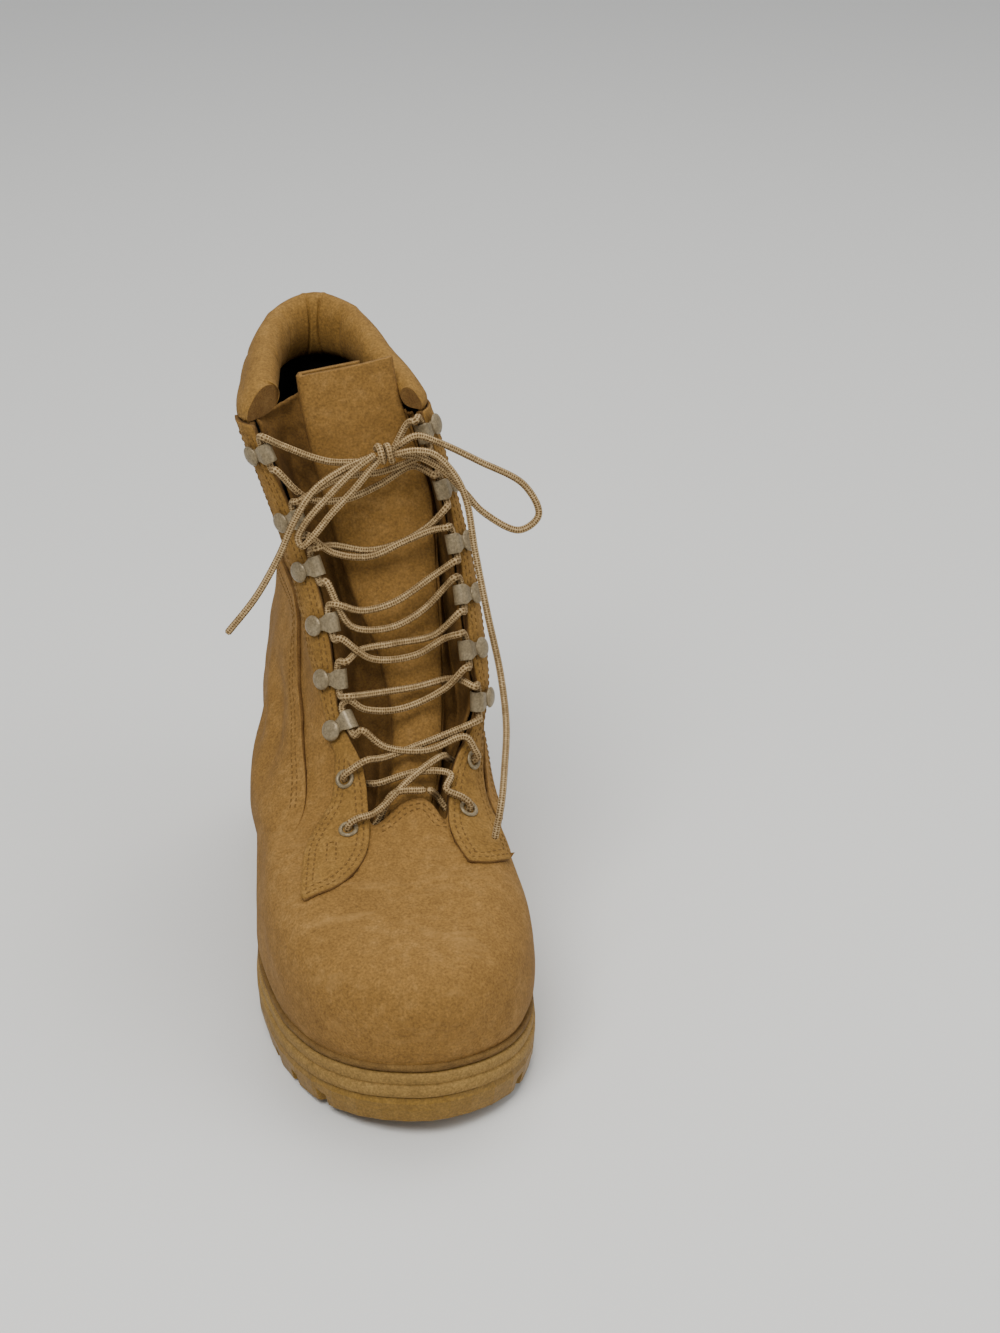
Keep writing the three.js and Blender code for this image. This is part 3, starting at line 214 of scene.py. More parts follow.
SOLE_LIFT = Table(
    ("along", "toe", "heel"),
    (
        (-0.52, 1.15, 0), (-0.46, 0.72, 0), (-0.4, 0.36, 0), (-0.35, 0.15, 0), (-0.3, 0, 0), (-0.2, 0, 0),
        (-0.1, 0, 0.03), (0, 0, 0.22), (0.1, 0, 0.58), (0.2, 0, 0.88), (0.3, 0, 1), (0.52, 0, 1),
    ),
)

# Sections of the upper's inner face from its foot to its top edge, in shares of the named sizes
UPPER_SECTIONS = Table(
    (
        "size", "front_y", "front_z", "back_y", "back_z", "front_x", "back_x", "out_ball", "out_waist",
        "out_heel", "in_ball", "in_waist", "in_heel", "front_round", "back_round", "sole", "inset",
    ),
    (
        (
            BALL_WIDTH, -0.484, 0, 0.484, 0, 0.05, 0, 0.46, 0.4,
            0.31, 0.43, 0.33, 0.3, 0.2, 0.13, 1, 1,
        ),
        (
            BALL_WIDTH, -0.489, 0.03, 0.4835, 0.03, 0.05, 0, 0.48, 0.43,
            0.33, 0.45, 0.36, 0.31, 0.2, 0.13, 0.95, 0.7,
        ),
        (
            BALL_WIDTH, -0.4895, 0.085, 0.4825, 0.09, 0.05, 0, 0.485, 0.46,
            0.345, 0.43, 0.37, 0.32, 0.22, 0.13, 0.7, 0.6,
        ),
        (
            BALL_WIDTH, -0.477, 0.15, 0.48, 0.17, 0.055, 0, 0.475, 0.465,
            0.345, 0.4, 0.365, 0.315, 0.24, 0.13, 0.3, 0.5,
        ),
        (
            BALL_WIDTH, -0.43, 0.2, 0.465, 0.25, 0.065, 0, 0.465, 0.456,
            0.336, 0.365, 0.356, 0.306, 0.29, 0.13, 0.05, 1,
        ),
        (
            BALL_WIDTH, -0.318, 0.245, 0.446, 0.325, 0.09, -0.005, 0.432, 0.412,
            0.32, 0.325, 0.338, 0.298, 0.29, 0.13, 0, 1,
        ),
        (
            BALL_WIDTH, -0.186, 0.3, 0.428, 0.4, 0.11, -0.01, 0.38, 0.38,
            0.31, 0.3, 0.315, 0.285, 0.2, 0.13, 0, 1,
        ),
        (
            SHAFT_WIDTH, -0.117, 0.385, 0.413, 0.475, 0.165, -0.02, 0.475, 0.512,
            0.44, 0.43, 0.44, 0.414, 0.12, 0.13, 0, 1,
        ),
        (
            SHAFT_WIDTH, -0.073, 0.48, 0.402, 0.56, 0.175, -0.03, 0.445, 0.436,
            0.41, 0.45, 0.42, 0.404, 0.085, 0.13, 0, 1,
        ),
        (
            SHAFT_WIDTH, -0.037, 0.59, 0.394, 0.65, 0.15, -0.045, 0.429, 0.392,
            0.374, 0.455, 0.418, 0.394, 0.075, 0.13, 0, 1,
        ),
        (
            SHAFT_WIDTH, 0.007, 0.73, 0.39, 0.77, 0.1, -0.08, 0.444, 0.394,
            0.374, 0.462, 0.422, 0.384, 0.072, 0.13, 0, 1,
        ),
        (
            SHAFT_WIDTH, 0.039, 0.87, 0.384, 0.89, 0.013, -0.125, 0.469, 0.414,
            0.374, 0.465, 0.408, 0.365, 0.07, 0.13, 0, 1,
        ),
        (
            SHAFT_WIDTH, 0.061, 1.05, 0.374, 1, -0.13, -0.18, 0.494, 0.434,
            0.374, 0.475, 0.385, 0.33, 0.065, 0.13, 0, 1,
        ),
    ),
)

THROAT = Table(
    ("climb", "outer", "inner", "rise"),
    (
        (0.12, -0.105, 0.33, 0.42), (0.175, -0.105, 0.355, 0.42), (0.215, -0.1, 0.37, 0.42),
        (0.275, -0.118, 0.43, 0.41), (0.32, -0.17, 0.51, 0.41), (0.39, -0.23, 0.59, 0.43),
        (0.5, -0.245, 0.545, 0.475), (0.61, -0.285, 0.535, 0.51), (0.72, -0.37, 0.505, 0.57),
        (0.825, -0.47, 0.455, 0.63), (0.93, -0.6, 0.36, 0.67), (1.01, -0.63, 0.29, 0.69),
    ),
)

VAMP_EDGE = Table(
    ("across", "climb"),
    (
        (-0.1, 0.128), (0, 0.15), (0.075, 0.172), (0.14, 0.182), (0.2, 0.184), (0.26, 0.168), (0.32, 0.13),
    ),
)

OUTER_TAB = Table(
    ("across", "climb"),
    (
        (-0.13, 0.072), (-0.2, 0.027), (-0.316, -0.01), (-0.44, -0.025), (-0.535, -0.042), (-0.5, 0.04),
        (-0.47, 0.1), (-0.4, 0.144), (-0.29, 0.206), (-0.25, 0.322),
    ),
)
INNER_TAB = Table(
    ("across", "climb"),
    (
        (0.355, 0.077), (0.41, 0.027), (0.52, 0.024), (0.64, 0.033), (0.75, 0.05), (0.75, 0.144),
    ),
)
OUTER_SEAM = Table(
    ("along", "up"),
    (
        (-0.066, 0.05), (-0.066, 0.425), (-0.022, 0.508), (0.02, 0.575), (0.066, 0.71), (0.108, 0.875),
        (0.15, 1.1), (0.17, 1.3),
    ),
)
INNER_SEAM = Table(
    ("along", "up"),
    (
        (-0.222, 0.235), (-0.131, 0.29), (-0.05, 0.37), (0, 0.48), (0.04, 0.6), (0.075, 0.73), (0.12, 0.9),
        (0.16, 1.1), (0.18, 1.3),
    ),
)
QUARTER_EDGE = Table(
    ("along", "outer", "inner"),
    (
        (-0.152, 0.288, 0.272), (-0.084, 0.332, 0.315), (-0.03, 0.38, 0.36), (0.027, 0.438, 0.42),
        (0.061, 0.47, 0.47), (0.098, 0.525, 0.525), (0.125, 0.59, 0.59), (0.165, 0.61, 0.61), (0.6, 0.6, 0.6),
        (0.6, -0.1, -0.1), (0.085, -0.1, -0.1), (0.052, 0.05, 0.05), (-0.016, 0.15, 0.15),
        (-0.098, 0.235, 0.235),
    ),
)
LACING_ROWS = Table(
    ("hook", "outer", "inner"),
    (
        (0, 0.124, 0.155), (0, 0.242, 0.268), (1, 0.35, 0.405), (1, 0.458, 0.5), (1, 0.565, 0.612),
        (1, 0.675, 0.718), (1, 0.773, 0.832), (1, 0.9, 0.935),
    ),
)
OUTER_LACE: tuple[tuple[tuple[float, float], ...], ...] = (
    ((0.22, 0.196), (0.04, 0.192),),
    ((0.16, 0.228),),
    ((0.25, 0.286), (0.02, 0.3),),
    ((-0.08, 0.385), (0.12, 0.38), (0.38, 0.415),),
    ((0.4, 0.515), (0.22, 0.484), (-0.02, 0.483),),
    ((-0.06, 0.58), (0.12, 0.592), (0.36, 0.642),),
    ((0.36, 0.73), (0.2, 0.711), (0, 0.686), (-0.2, 0.698),),
    ((-0.32, 0.808), (-0.13, 0.838), (0.1, 0.845),),
    ((0.25, 0.925), (0.15, 0.872),),
)
INNER_LACE: tuple[tuple[tuple[float, float], ...], ...] = (
    ((0.24, 0.196),),
    ((0.37, 0.228), (0.2, 0.241),),
    ((0, 0.278), (0.2, 0.3),),
    ((0.44, 0.436), (0.21, 0.424), (-0.06, 0.416),),
    ((-0.08, 0.504), (0.11, 0.513), (0.34, 0.525),),
    ((0.42, 0.62), (0.28, 0.575), (0.09, 0.545), (-0.12, 0.553),),
    ((-0.2, 0.715), (0, 0.701), (0.18, 0.712), (0.34, 0.74),),
    ((0.27, 0.855), (0.08, 0.824), (-0.12, 0.8), (-0.32, 0.806),),
    ((-0.45, 0.902), (-0.2, 0.868), (0.02, 0.86),),
)
KNOT = Vector((8, 13.5, 230.5))
LOOSE_LACE: dict[str, tuple[tuple[float, float, float], ...]] = {
    "lace_loop_right": (
        (12.4, 11.2, 233.8), (21, 11.5, 238.5), (30, 12.5, 235), (48, 12.5, 225), (67, 11, 213.5),
        (72.5, 7.5, 201), (64, 5.5, 195.5), (49, 8, 203.5), (41, 9, 213), (31, 10, 224), (20, 11, 230),
        (14.8, 12, 230),
    ),
    "lace_end_right": (
        (11.6, 8.2, 232), (20, 6.5, 234), (28, 6.5, 232), (36, 5, 223.5), (41, 3.5, 212), (44, -2, 190.5),
        (48, -12, 165), (52, -22, 142), (52.5, -36, 125), (49.5, -52, 113), (46.5, -64, 103), (43, -69, 89),
    ),
    "lace_loop_left": (
        (3.8, 10.2, 231.8), (-5, 8.5, 226), (-16, 6.5, 216), (-26.5, 4.5, 205), (-30, 3, 198.5),
        (-28.5, 1.4, 195.8), (-24.5, 1.6, 199), (-15, 4.6, 209), (-5, 7, 218.5), (1.5, 9.6, 225.2),
        (6.2, 12.4, 229.2),
    ),
    "lace_end_left": (
        (4, 14.4, 229.4), (-9, 12.5, 225), (-22, 8.5, 218), (-31, 4.5, 206.5), (-38.5, 0.5, 192),
        (-49, -4, 176), (-62, -9.5, 162.5),
    ),
}
HOOK_STRIP = ((0.2, 0.33), (0.58, 0.55), (0.88, 0.55), (1.0, 0.2), (1.04, -0.4), (0.98, -0.95), (0.87, -1.15))
COLLAR_SECTION = (
    (-0.5, 0), (-0.9, 0.16), (-1.08, 0.5), (-1, 0.83), (-0.7, 1), (-0.38, 0.92), (-0.1, 0.62), (0.06, 0.28),
    (0.02, 0),
)
COLLAR_RUN = Table(
    ("way", "high", "thick"),
    ((0, 0, 0), (0.08, 0.1, 0.45), (0.2, 0.3, 0.75), (0.4, 0.6, 1), (0.7, 0.9, 1), (1, 1, 1)),
)
TONGUE = Table(
    ("along", "up", "outer", "inner", "bow", "fold", "lag"),
    (
        (-0.197, 0.26, 0.03, 0.2, 0.1, 0.1, 0), (-0.175, 0.288, 0.02, 0.21, 0.2, 0.1, 0),
        (-0.147, 0.313, 0.03, 0.25, 0.4, 0.12, 0), (-0.101, 0.355, 0.06, 0.32, 0.6, 0.2, 0),
        (-0.047, 0.448, 0.1, 0.37, 0.8, 0.4, 0), (-0.005, 0.554, 0.06, 0.395, 1, 0.7, 0),
        (0.043, 0.696, -0.08, 0.4, 1, 0.9, 0.004), (0.078, 0.843, -0.175, 0.4, 1, 1, 0.01),
        (0.1, 0.983, -0.26, 0.31, 0.8, 1, 0.018), (0.113, 1.11, -0.315, 0.215, 0.4, 1, 0.028),
        (0.116, 1.175, -0.33, 0.19, 0.3, 1, 0.035),
    ),
)

BAR_TACK = ((-28.6, 3.5), (-24.4, 3.5), (-22.6, 19.5), (-26.2, 19.5))
COLLAR_FOLDS = ((0.24, 1.6), (0.36, 2.2), (0.47, 3.0), (0.545, 3.2), (0.64, 2.0), (0.76, 1.6))


# Small helpers


def mix(a: float, b: float, share: float) -> float:
    """Value between two numbers.

    Args:
        a: Value at 0.
        b: Value at 1.
        share: How far from a to b.

    Returns:
        The value between them.
    """
    return a + (b - a) * share


def catmull(points: Sequence[Sequence[float]], closed: bool, t: float) -> np.ndarray:
    """Point on a centripetal curve through points.

    Args:
        points: The points that the curve passes.
        closed: Whether it runs back to its first point.
        t: Share of the curve from 0 to 1.

    Returns:
        The point as an array.
    """
    pts = [np.asarray(p, float) for p in points]
    count = len(pts)
    place = (count if closed else count - 1) * t
    i = int(math.floor(place))
    weight = place - i
    if closed:
        i %= count
    elif i >= count - 1:
        i, weight = count - 2, 1.0
    p1, p2 = pts[i], pts[(i + 1) % count]
    p0 = pts[(i - 1) % count] if closed or i > 0 else 2 * pts[0] - pts[1]
    p3 = pts[(i + 2) % count] if closed or i + 2 < count else 2 * pts[-1] - pts[-2]
    steps = [max(float(np.dot(b - a, b - a)) ** 0.25, 1e-4) for a, b in ((p0, p1), (p1, p2), (p2, p3))]
    d0, d1, d2 = steps
    t1 = ((p1 - p0) / d0 - (p2 - p0) / (d0 + d1) + (p2 - p1) / d1) * d1
    t2 = ((p2 - p1) / d1 - (p3 - p1) / (d1 + d2) + (p3 - p2) / d2) * d1
    c2 = -3 * p1 + 3 * p2 - 2 * t1 - t2
    c3 = 2 * p1 - 2 * p2 + t1 + t2
    return p1 + t1 * weight + c2 * weight**2 + c3 * weight**3


def resample(points: Sequence[Sequence[float]], step: float) -> np.ndarray:
    """Points at even steps along a polyline.

    Args:
        points: The polyline.
        step: Distance between the new points.

    Returns:
        The new points, one row each.
    """
    pts = np.asarray(points, float)
    lengths = np.concatenate(([0.0], np.cumsum(np.linalg.norm(np.diff(pts, axis=0), axis=1))))
    count = max(2, int(lengths[-1] / step) + 1)
    marks = np.linspace(0.0, lengths[-1], count)
    return np.stack([np.interp(marks, lengths, pts[:, k]) for k in range(3)], axis=1)


def point_tree(points: Sequence[np.ndarray]) -> KDTree:
    """Search tree of points.

    Args:
        points: The points.

    Returns:
        The tree, which numbers the points in their order.
    """
    tree = KDTree(len(points))
    for place, point in enumerate(points):
        tree.insert(Vector(point), place)
    tree.balance()
    return tree


def inside_outline(a: float, b: float, outline: Sequence[tuple[float, float]]) -> bool:
    """Whether a point lies in a closed outline.

    Args:
        a: First coordinate of the point.
        b: Second coordinate of the point.
        outline: The outline's corners.

    Returns:
        True if the point is inside.
    """
    inside = False
    j = len(outline) - 1
    for i, (ai, bi) in enumerate(outline):
        aj, bj = outline[j]
        if (bi > b) != (bj > b) and a < (aj - ai) * (b - bi) / (bj - bi) + ai:
            inside = not inside
        j = i
    return inside


def waves(points: np.ndarray, sizes: Sequence[float], seed: float) -> np.ndarray:
    """Soft uneven values from a few crossed waves.

    Args:
        points: Points in millimetres, one row each.
        sizes: Wave lengths in millimetres.
        seed: Shifts the pattern.

    Returns:
        One value a point, about -1 to 1.
    """
    total = np.zeros(len(points))
    for k, size in enumerate(sizes):
        turn = 1.3 * k + seed
        way = np.array([math.cos(turn), math.sin(turn) * 0.8, math.cos(turn * 1.7)])
        side = np.array([math.sin(turn * 2.1), math.cos(turn * 0.7), math.sin(turn)])
        bend = np.sin(points @ side * (2 * math.pi / (size * 1.7)) + 3 * turn)
        total += np.sin(points @ way * (2 * math.pi / size) + 1.4 * bend + turn)
    return total / len(sizes)


# Writing meshes


def write_mesh(
    name: str,
    points: Iterable[Sequence[float]],
    faces: Sequence[Sequence[int]],
    materials: Sequence[bpy.types.Material],
) -> bpy.types.Object:
    """Makes a mesh object from points in millimetres.

    Args:
        name: The object's name.
        points: Vertex places in millimetres.
        faces: Vertex indices of each face.
        materials: Materials in slot order.

    Returns:
        The new object, linked to the scene.
    """
    bm = bmesh.new()
    verts = [bm.verts.new([float(c) * MM for c in p]) for p in points]
    bm.verts.ensure_lookup_table()
    for corners in faces:
        bm.faces.new([verts[i] for i in corners]).smooth = True
    loose = [v for v in bm.verts if not v.link_faces]
    bmesh.ops.delete(bm, geom=loose, context="VERTS")
    return link_bmesh(name, bm, materials)


def link_bmesh(name: str, bm: bmesh.types.BMesh, materials: Sequence[bpy.types.Material]) -> bpy.types.Object:
    """Turns a bmesh into a linked object.

    Args:
        name: The object's name.
        bm: The bmesh, which is freed.
        materials: Materials in slot order.

    Returns:
        The new object.
    """
    mesh = bpy.data.meshes.new(name)
    bm.to_mesh(mesh)
    bm.free()
    obj = bpy.data.objects.new(name, mesh)
    for material in materials:
        mesh.materials.append(material)
    bpy.context.scene.collection.objects.link(obj)
    return obj


def add_modifier(obj: bpy.types.Object, kind: str, **settings: float | bool | str | int) -> None:
    """Adds a modifier with settings.

    Args:
        obj: The object.
        kind: The modifier's type.
        settings: Values by property name.
    """
    modifier = obj.modifiers.new(kind.title(), kind)
    for key, value in settings.items():
        setattr(modifier, key, value)


# The sole's lines


class SoleLines:
    """The sole's edge and the heights along it."""

    def __init__(self) -> None:
        """Works out the edge curve once."""
        corners = [
            (across * (HEEL_WIDTH if heel else BALL_WIDTH), along * SOLE_LENGTH, 0.0)
            for along, across, heel in SOLE_EDGE.rows
        ]
        run = [catmull(corners, True, i / 400) for i in range(401)]
        tip = round(400 * 12 / len(corners))
        self.outer = np.array(run[: tip + 1])
        self.inner = np.array(run[tip:][::-1])

    def edge_x(self, side: int, share: float) -> float:
        """x of the sole's edge.

        Args:
            side: -1 for the outer side, 1 for the inner side.
            share: Share of the length from the toe.

        Returns:
            x in millimetres.
        """
        run = self.outer if side < 0 else self.inner
        return float(np.interp(mix(-0.5, 0.5, share) * SOLE_LENGTH, run[:, 1], run[:, 0]))

    def toe_lift(self, y: float) -> float:
        """Height of the outsole's foot over the floor.

        Args:
            y: Place along the sole.

        Returns:
            Height in millimetres.
        """
        return TOE_SPRING * SOLE_LIFT.read("along", "toe", y / SOLE_LENGTH)

    def outsole_top(self, y: float) -> float:
        """Height of the outsole's top.

        Args:
            y: Place along the sole.

        Returns:
            Height in millimetres.
        """
        heel = HEEL_LIFT * SOLE_LIFT.read("along", "heel", y / SOLE_LENGTH)
        return OUTSOLE_THICKNESS + self.toe_lift(y) + heel

    def welt_top(self, y: float) -> float:
        """Height of the welt's top.

        Args:
            y: Place along the sole.

        Returns:
            Height in millimetres.
        """
        return self.outsole_top(y) + MIDSOLE_THICKNESS + WELT_THICKNESS

    def ring(self, inset: float, height: Callable[[float], float], steps: int) -> np.ndarray:
        """A closed ring along the sole's edge.

        Args:
            inset: How far it is drawn in.
            height: Height for a place along the sole.
            steps: Number of points.

        Returns:
            The ring's points, one row each.
        """
        edge = []
        for i in range(steps):
            share = (1 - math.cos(2 * math.pi * i / steps)) / 2
            side = -1 if i < steps / 2 else 1
            edge.append((self.edge_x(side, share), mix(-0.5, 0.5, share) * SOLE_LENGTH))
        edge_array = np.array(edge)
        along = np.roll(edge_array, -1, axis=0) - np.roll(edge_array, 1, axis=0)
        along /= np.maximum(np.linalg.norm(along, axis=1, keepdims=True), 1e-9)
        out = np.zeros((steps, 3))
        out[:, 0] = edge_array[:, 0] + along[:, 1] * inset
        out[:, 1] = edge_array[:, 1] - along[:, 0] * inset
        out[:, 2] = [height(y) for y in out[:, 1]]
        return out


# The upper's surface


def round_end(share: float) -> float:
    """A quarter ellipse from 0 to 1.

    Args:
        share: Share of the round stretch.

    Returns:
        Share of the full width.
    """
    return 1.0 if share >= 1 else math.sqrt(max(0.0, 1 - (1 - share) ** 2))


@dataclass(frozen=True)
class Seat:
    """Where a fastener sits on a facing: its side, place and frame."""

    side: int
    hook: bool
    point: np.ndarray
    edge: np.ndarray
    out: np.ndarray
    climbing: np.ndarray

    def at(self, edge: float, out: float, climbing: float) -> np.ndarray:
        """A point in the seat's frame.

        Args:
            edge: Distance towards the throat.
            out: Distance away from the facing.
            climbing: Distance up the climb.

        Returns:
            The point in millimetres.
        """
        return self.point + self.edge * edge + self.out * out + self.climbing * climbing


class BootFace:
    """The upper's inner face as a fine grid, with its outward normals."""

    UP_STEPS = 118
    AROUND_STEPS = 300
    SIDE_COLUMNS = 100

    def __init__(self, sole: SoleLines) -> None:
        """Works out the grid.

        Args:
            sole: The sole's lines.
        """
        self.sole = sole
        self.keys = list(range(len(UPPER_SECTIONS.rows)))
        ups = np.linspace(0.0, 1.0, self.UP_STEPS + 1)
        self.points = np.array([self.row_points(float(up)) for up in ups])
        along_up = np.gradient(self.points, axis=0)
        ring = np.roll(self.points, -1, axis=1) - np.roll(self.points, 1, axis=1)
        normals = np.cross(along_up, ring)
        self.normals = normals / np.maximum(np.linalg.norm(normals, axis=2, keepdims=True), 1e-9)

    def section(self, up: float) -> dict[str, float]:
        """One section of the face in millimetres.

        Args:
            up: Height from 0 at the foot to 1 at the top edge.

        Returns:
            The section's sizes by name.
        """
        sized = {"front_x", "back_x", "out_ball", "out_waist", "out_heel", "in_ball", "in_waist", "in_heel"}
        long = {"front_y", "back_y", "front_round", "back_round"}
        result = {}
        sizes = UPPER_SECTIONS.column("size")
        for name in UPPER_SECTIONS.columns[1:]:
            raw = UPPER_SECTIONS.column(name)
            if name in sized:
                values = [v * s for v, s in zip(raw, sizes)]
            elif name in long:
                values = [v * SOLE_LENGTH for v in raw]
            elif name in ("front_z", "back_z"):
                ends = UPPER_SECTIONS.column(name[:-1] + "y")
                lifts = [self.sole.welt_top(e * SOLE_LENGTH) for e in ends]
                values = [lift + CLEARANCE + v * SHAFT_HEIGHT for v, lift in zip(raw, lifts)]
            elif name == "inset":
                values = [v * FEATHER_INSET for v in raw]
            else:
                values = raw
            result[name] = smooth_read(self.keys, values, up * self.keys[-1])
        return result

    def row_points(self, up: float) -> np.ndarray:
        """One ring of the face.

        Args:
            up: Height from 0 to 1.

        Returns:
            Points from the front by the outer side and back by the inner side.
        """
        row = self.section(up)
        front_top, back_top = self.sole.welt_top(row["front_y"]), self.sole.welt_top(row["back_y"])
        run = row["back_y"] - row["front_y"]
        points = []
        for i in range(self.AROUND_STEPS):
            around = i / self.AROUND_STEPS
            share = (1 - math.cos(2 * math.pi * around)) / 2
            side = -1 if around < 0.5 else 1
            y = mix(row["front_y"], row["back_y"], share)
            level = mix(row["front_z"], row["back_z"], share)
            sag = self.sole.welt_top(y) - mix(front_top, back_top, share)
            way = "out" if side < 0 else "in"
            ball, waist, heel = (row[f"{way}_{place}"] for place in ("ball", "waist", "heel"))
            widths = (mix(ball, waist, -0.25), ball, waist, heel, mix(heel, waist, -0.25))
            width = smooth_read((-0.2, 0.2, 0.5, 0.8, 1.2), widths, share)
            front_end = round_end(share * run / row["front_round"])
            width *= front_end * round_end((1 - share) * run / row["back_round"])
            section = mix(row["front_x"], row["back_x"], share) + side * width
            edge = self.sole.edge_x(side, share) * (1 - 2 * row["inset"] / BALL_WIDTH)
            points.append((mix(section, edge, row["sole"]), y, level + sag * row["sole"]))
        return np.array(points)

    def off(self, out: float) -> np.ndarray:
        """The grid moved off the face.

        Args:
            out: Distance in millimetres.

        Returns:
            The moved grid.
        """
        return self.points + self.normals * out

    def level(self, climb: float) -> tuple[np.ndarray, np.ndarray]:
        """Points and normals of the facings' outer face at one climb.

        Args:
            climb: Distance up the instep at 45 degrees.

        Returns:
            Points and normals, one row a column of the grid.
        """
        grid = self.off(PANEL_OUT)
        climbs = (grid[:, :, 1] + grid[:, :, 2]) * DIAGONAL
        points, normals = [], []
        for j in range(grid.shape[1]):
            place = float(np.interp(climb, climbs[:, j], np.arange(len(climbs))))
            i = min(int(place), len(climbs) - 2)
            share = place - i
            points.append(grid[i, j] * (1 - share) + grid[i + 1, j] * share)
            normals.append(self.normals[i, j] * (1 - share) + self.normals[i + 1, j] * share)
        return np.array(points), np.array(normals)

    def seat(self, side: int, hook: bool, climb: float) -> Seat:
        """Where a fastener sits.

        Args:
            side: -1 for the outer side, 1 for the inner side.
            hook: Whether it is a hook and not an eyelet.
            climb: Distance up the instep.

        Returns:
            The seat.
        """
        point, out = self.rim(side, climb, HOOK_SETBACK if hook else EYELET_SETBACK)
        climbing = self.rim(side, climb + 2, 0.0)[0] - self.rim(side, climb - 2, 0.0)[0]
        climbing -= out * float(np.dot(climbing, out))
        climbing /= np.linalg.norm(climbing)
        edge = np.cross(climbing, out) * -side
        return Seat(side, hook, point, edge, out, climbing)

    def rim(self, side: int, climb: float, setback: float) -> tuple[np.ndarray, np.ndarray]:
        """A point of a facing's outer face at or behind the throat's edge.

        Args:
            side: -1 for the outer side, 1 for the inner side.
            climb: Distance up the instep.
            setback: Distance behind the edge.

        Returns:
            The point and the outward normal.
        """
        points, normals = self.level(climb)
        order = list(range(self.SIDE_COLUMNS))
        if side > 0:
            order = list(range(len(points) - 1, len(points) - self.SIDE_COLUMNS, -1))
        edge_x = throat_edge(side, climb)
        run = points[order]
        past = side * (run[:, 0] - edge_x)
        first = next((k for k in range(1, len(order)) if past[k] > 0), 1)
        share = past[first - 1] / (past[first - 1] - past[first]) if past[first - 1] < 0 else 0.0
        rim = run[first - 1] * (1 - share) + run[first] * share
        k = first
        if setback > 0:
            while k < len(order) - 1 and np.linalg.norm(run[k] - rim) < setback:
                k += 1
            d0, d1 = np.linalg.norm(run[k - 1] - rim), np.linalg.norm(run[k] - rim)
            share = (setback - d0) / max(d1 - d0, 1e-6)
            rim = run[k - 1] * (1 - share) + run[k] * share
        normal = normals[order[k - 1]] * (1 - share) + normals[order[k]] * share
        return rim, normal / np.linalg.norm(normal)


def throat_edge(side: int, climb: float) -> float:
    """x of the throat's edge.

    Args:
        side: -1 for the outer side, 1 for the inner side.
        climb: Distance up the instep.

    Returns:
        x in millimetres.
    """
    return SHAFT_WIDTH * THROAT.read("climb", "outer" if side < 0 else "inner", climb / SHAFT_HEIGHT)


# Regions of the surface, as tests of a point


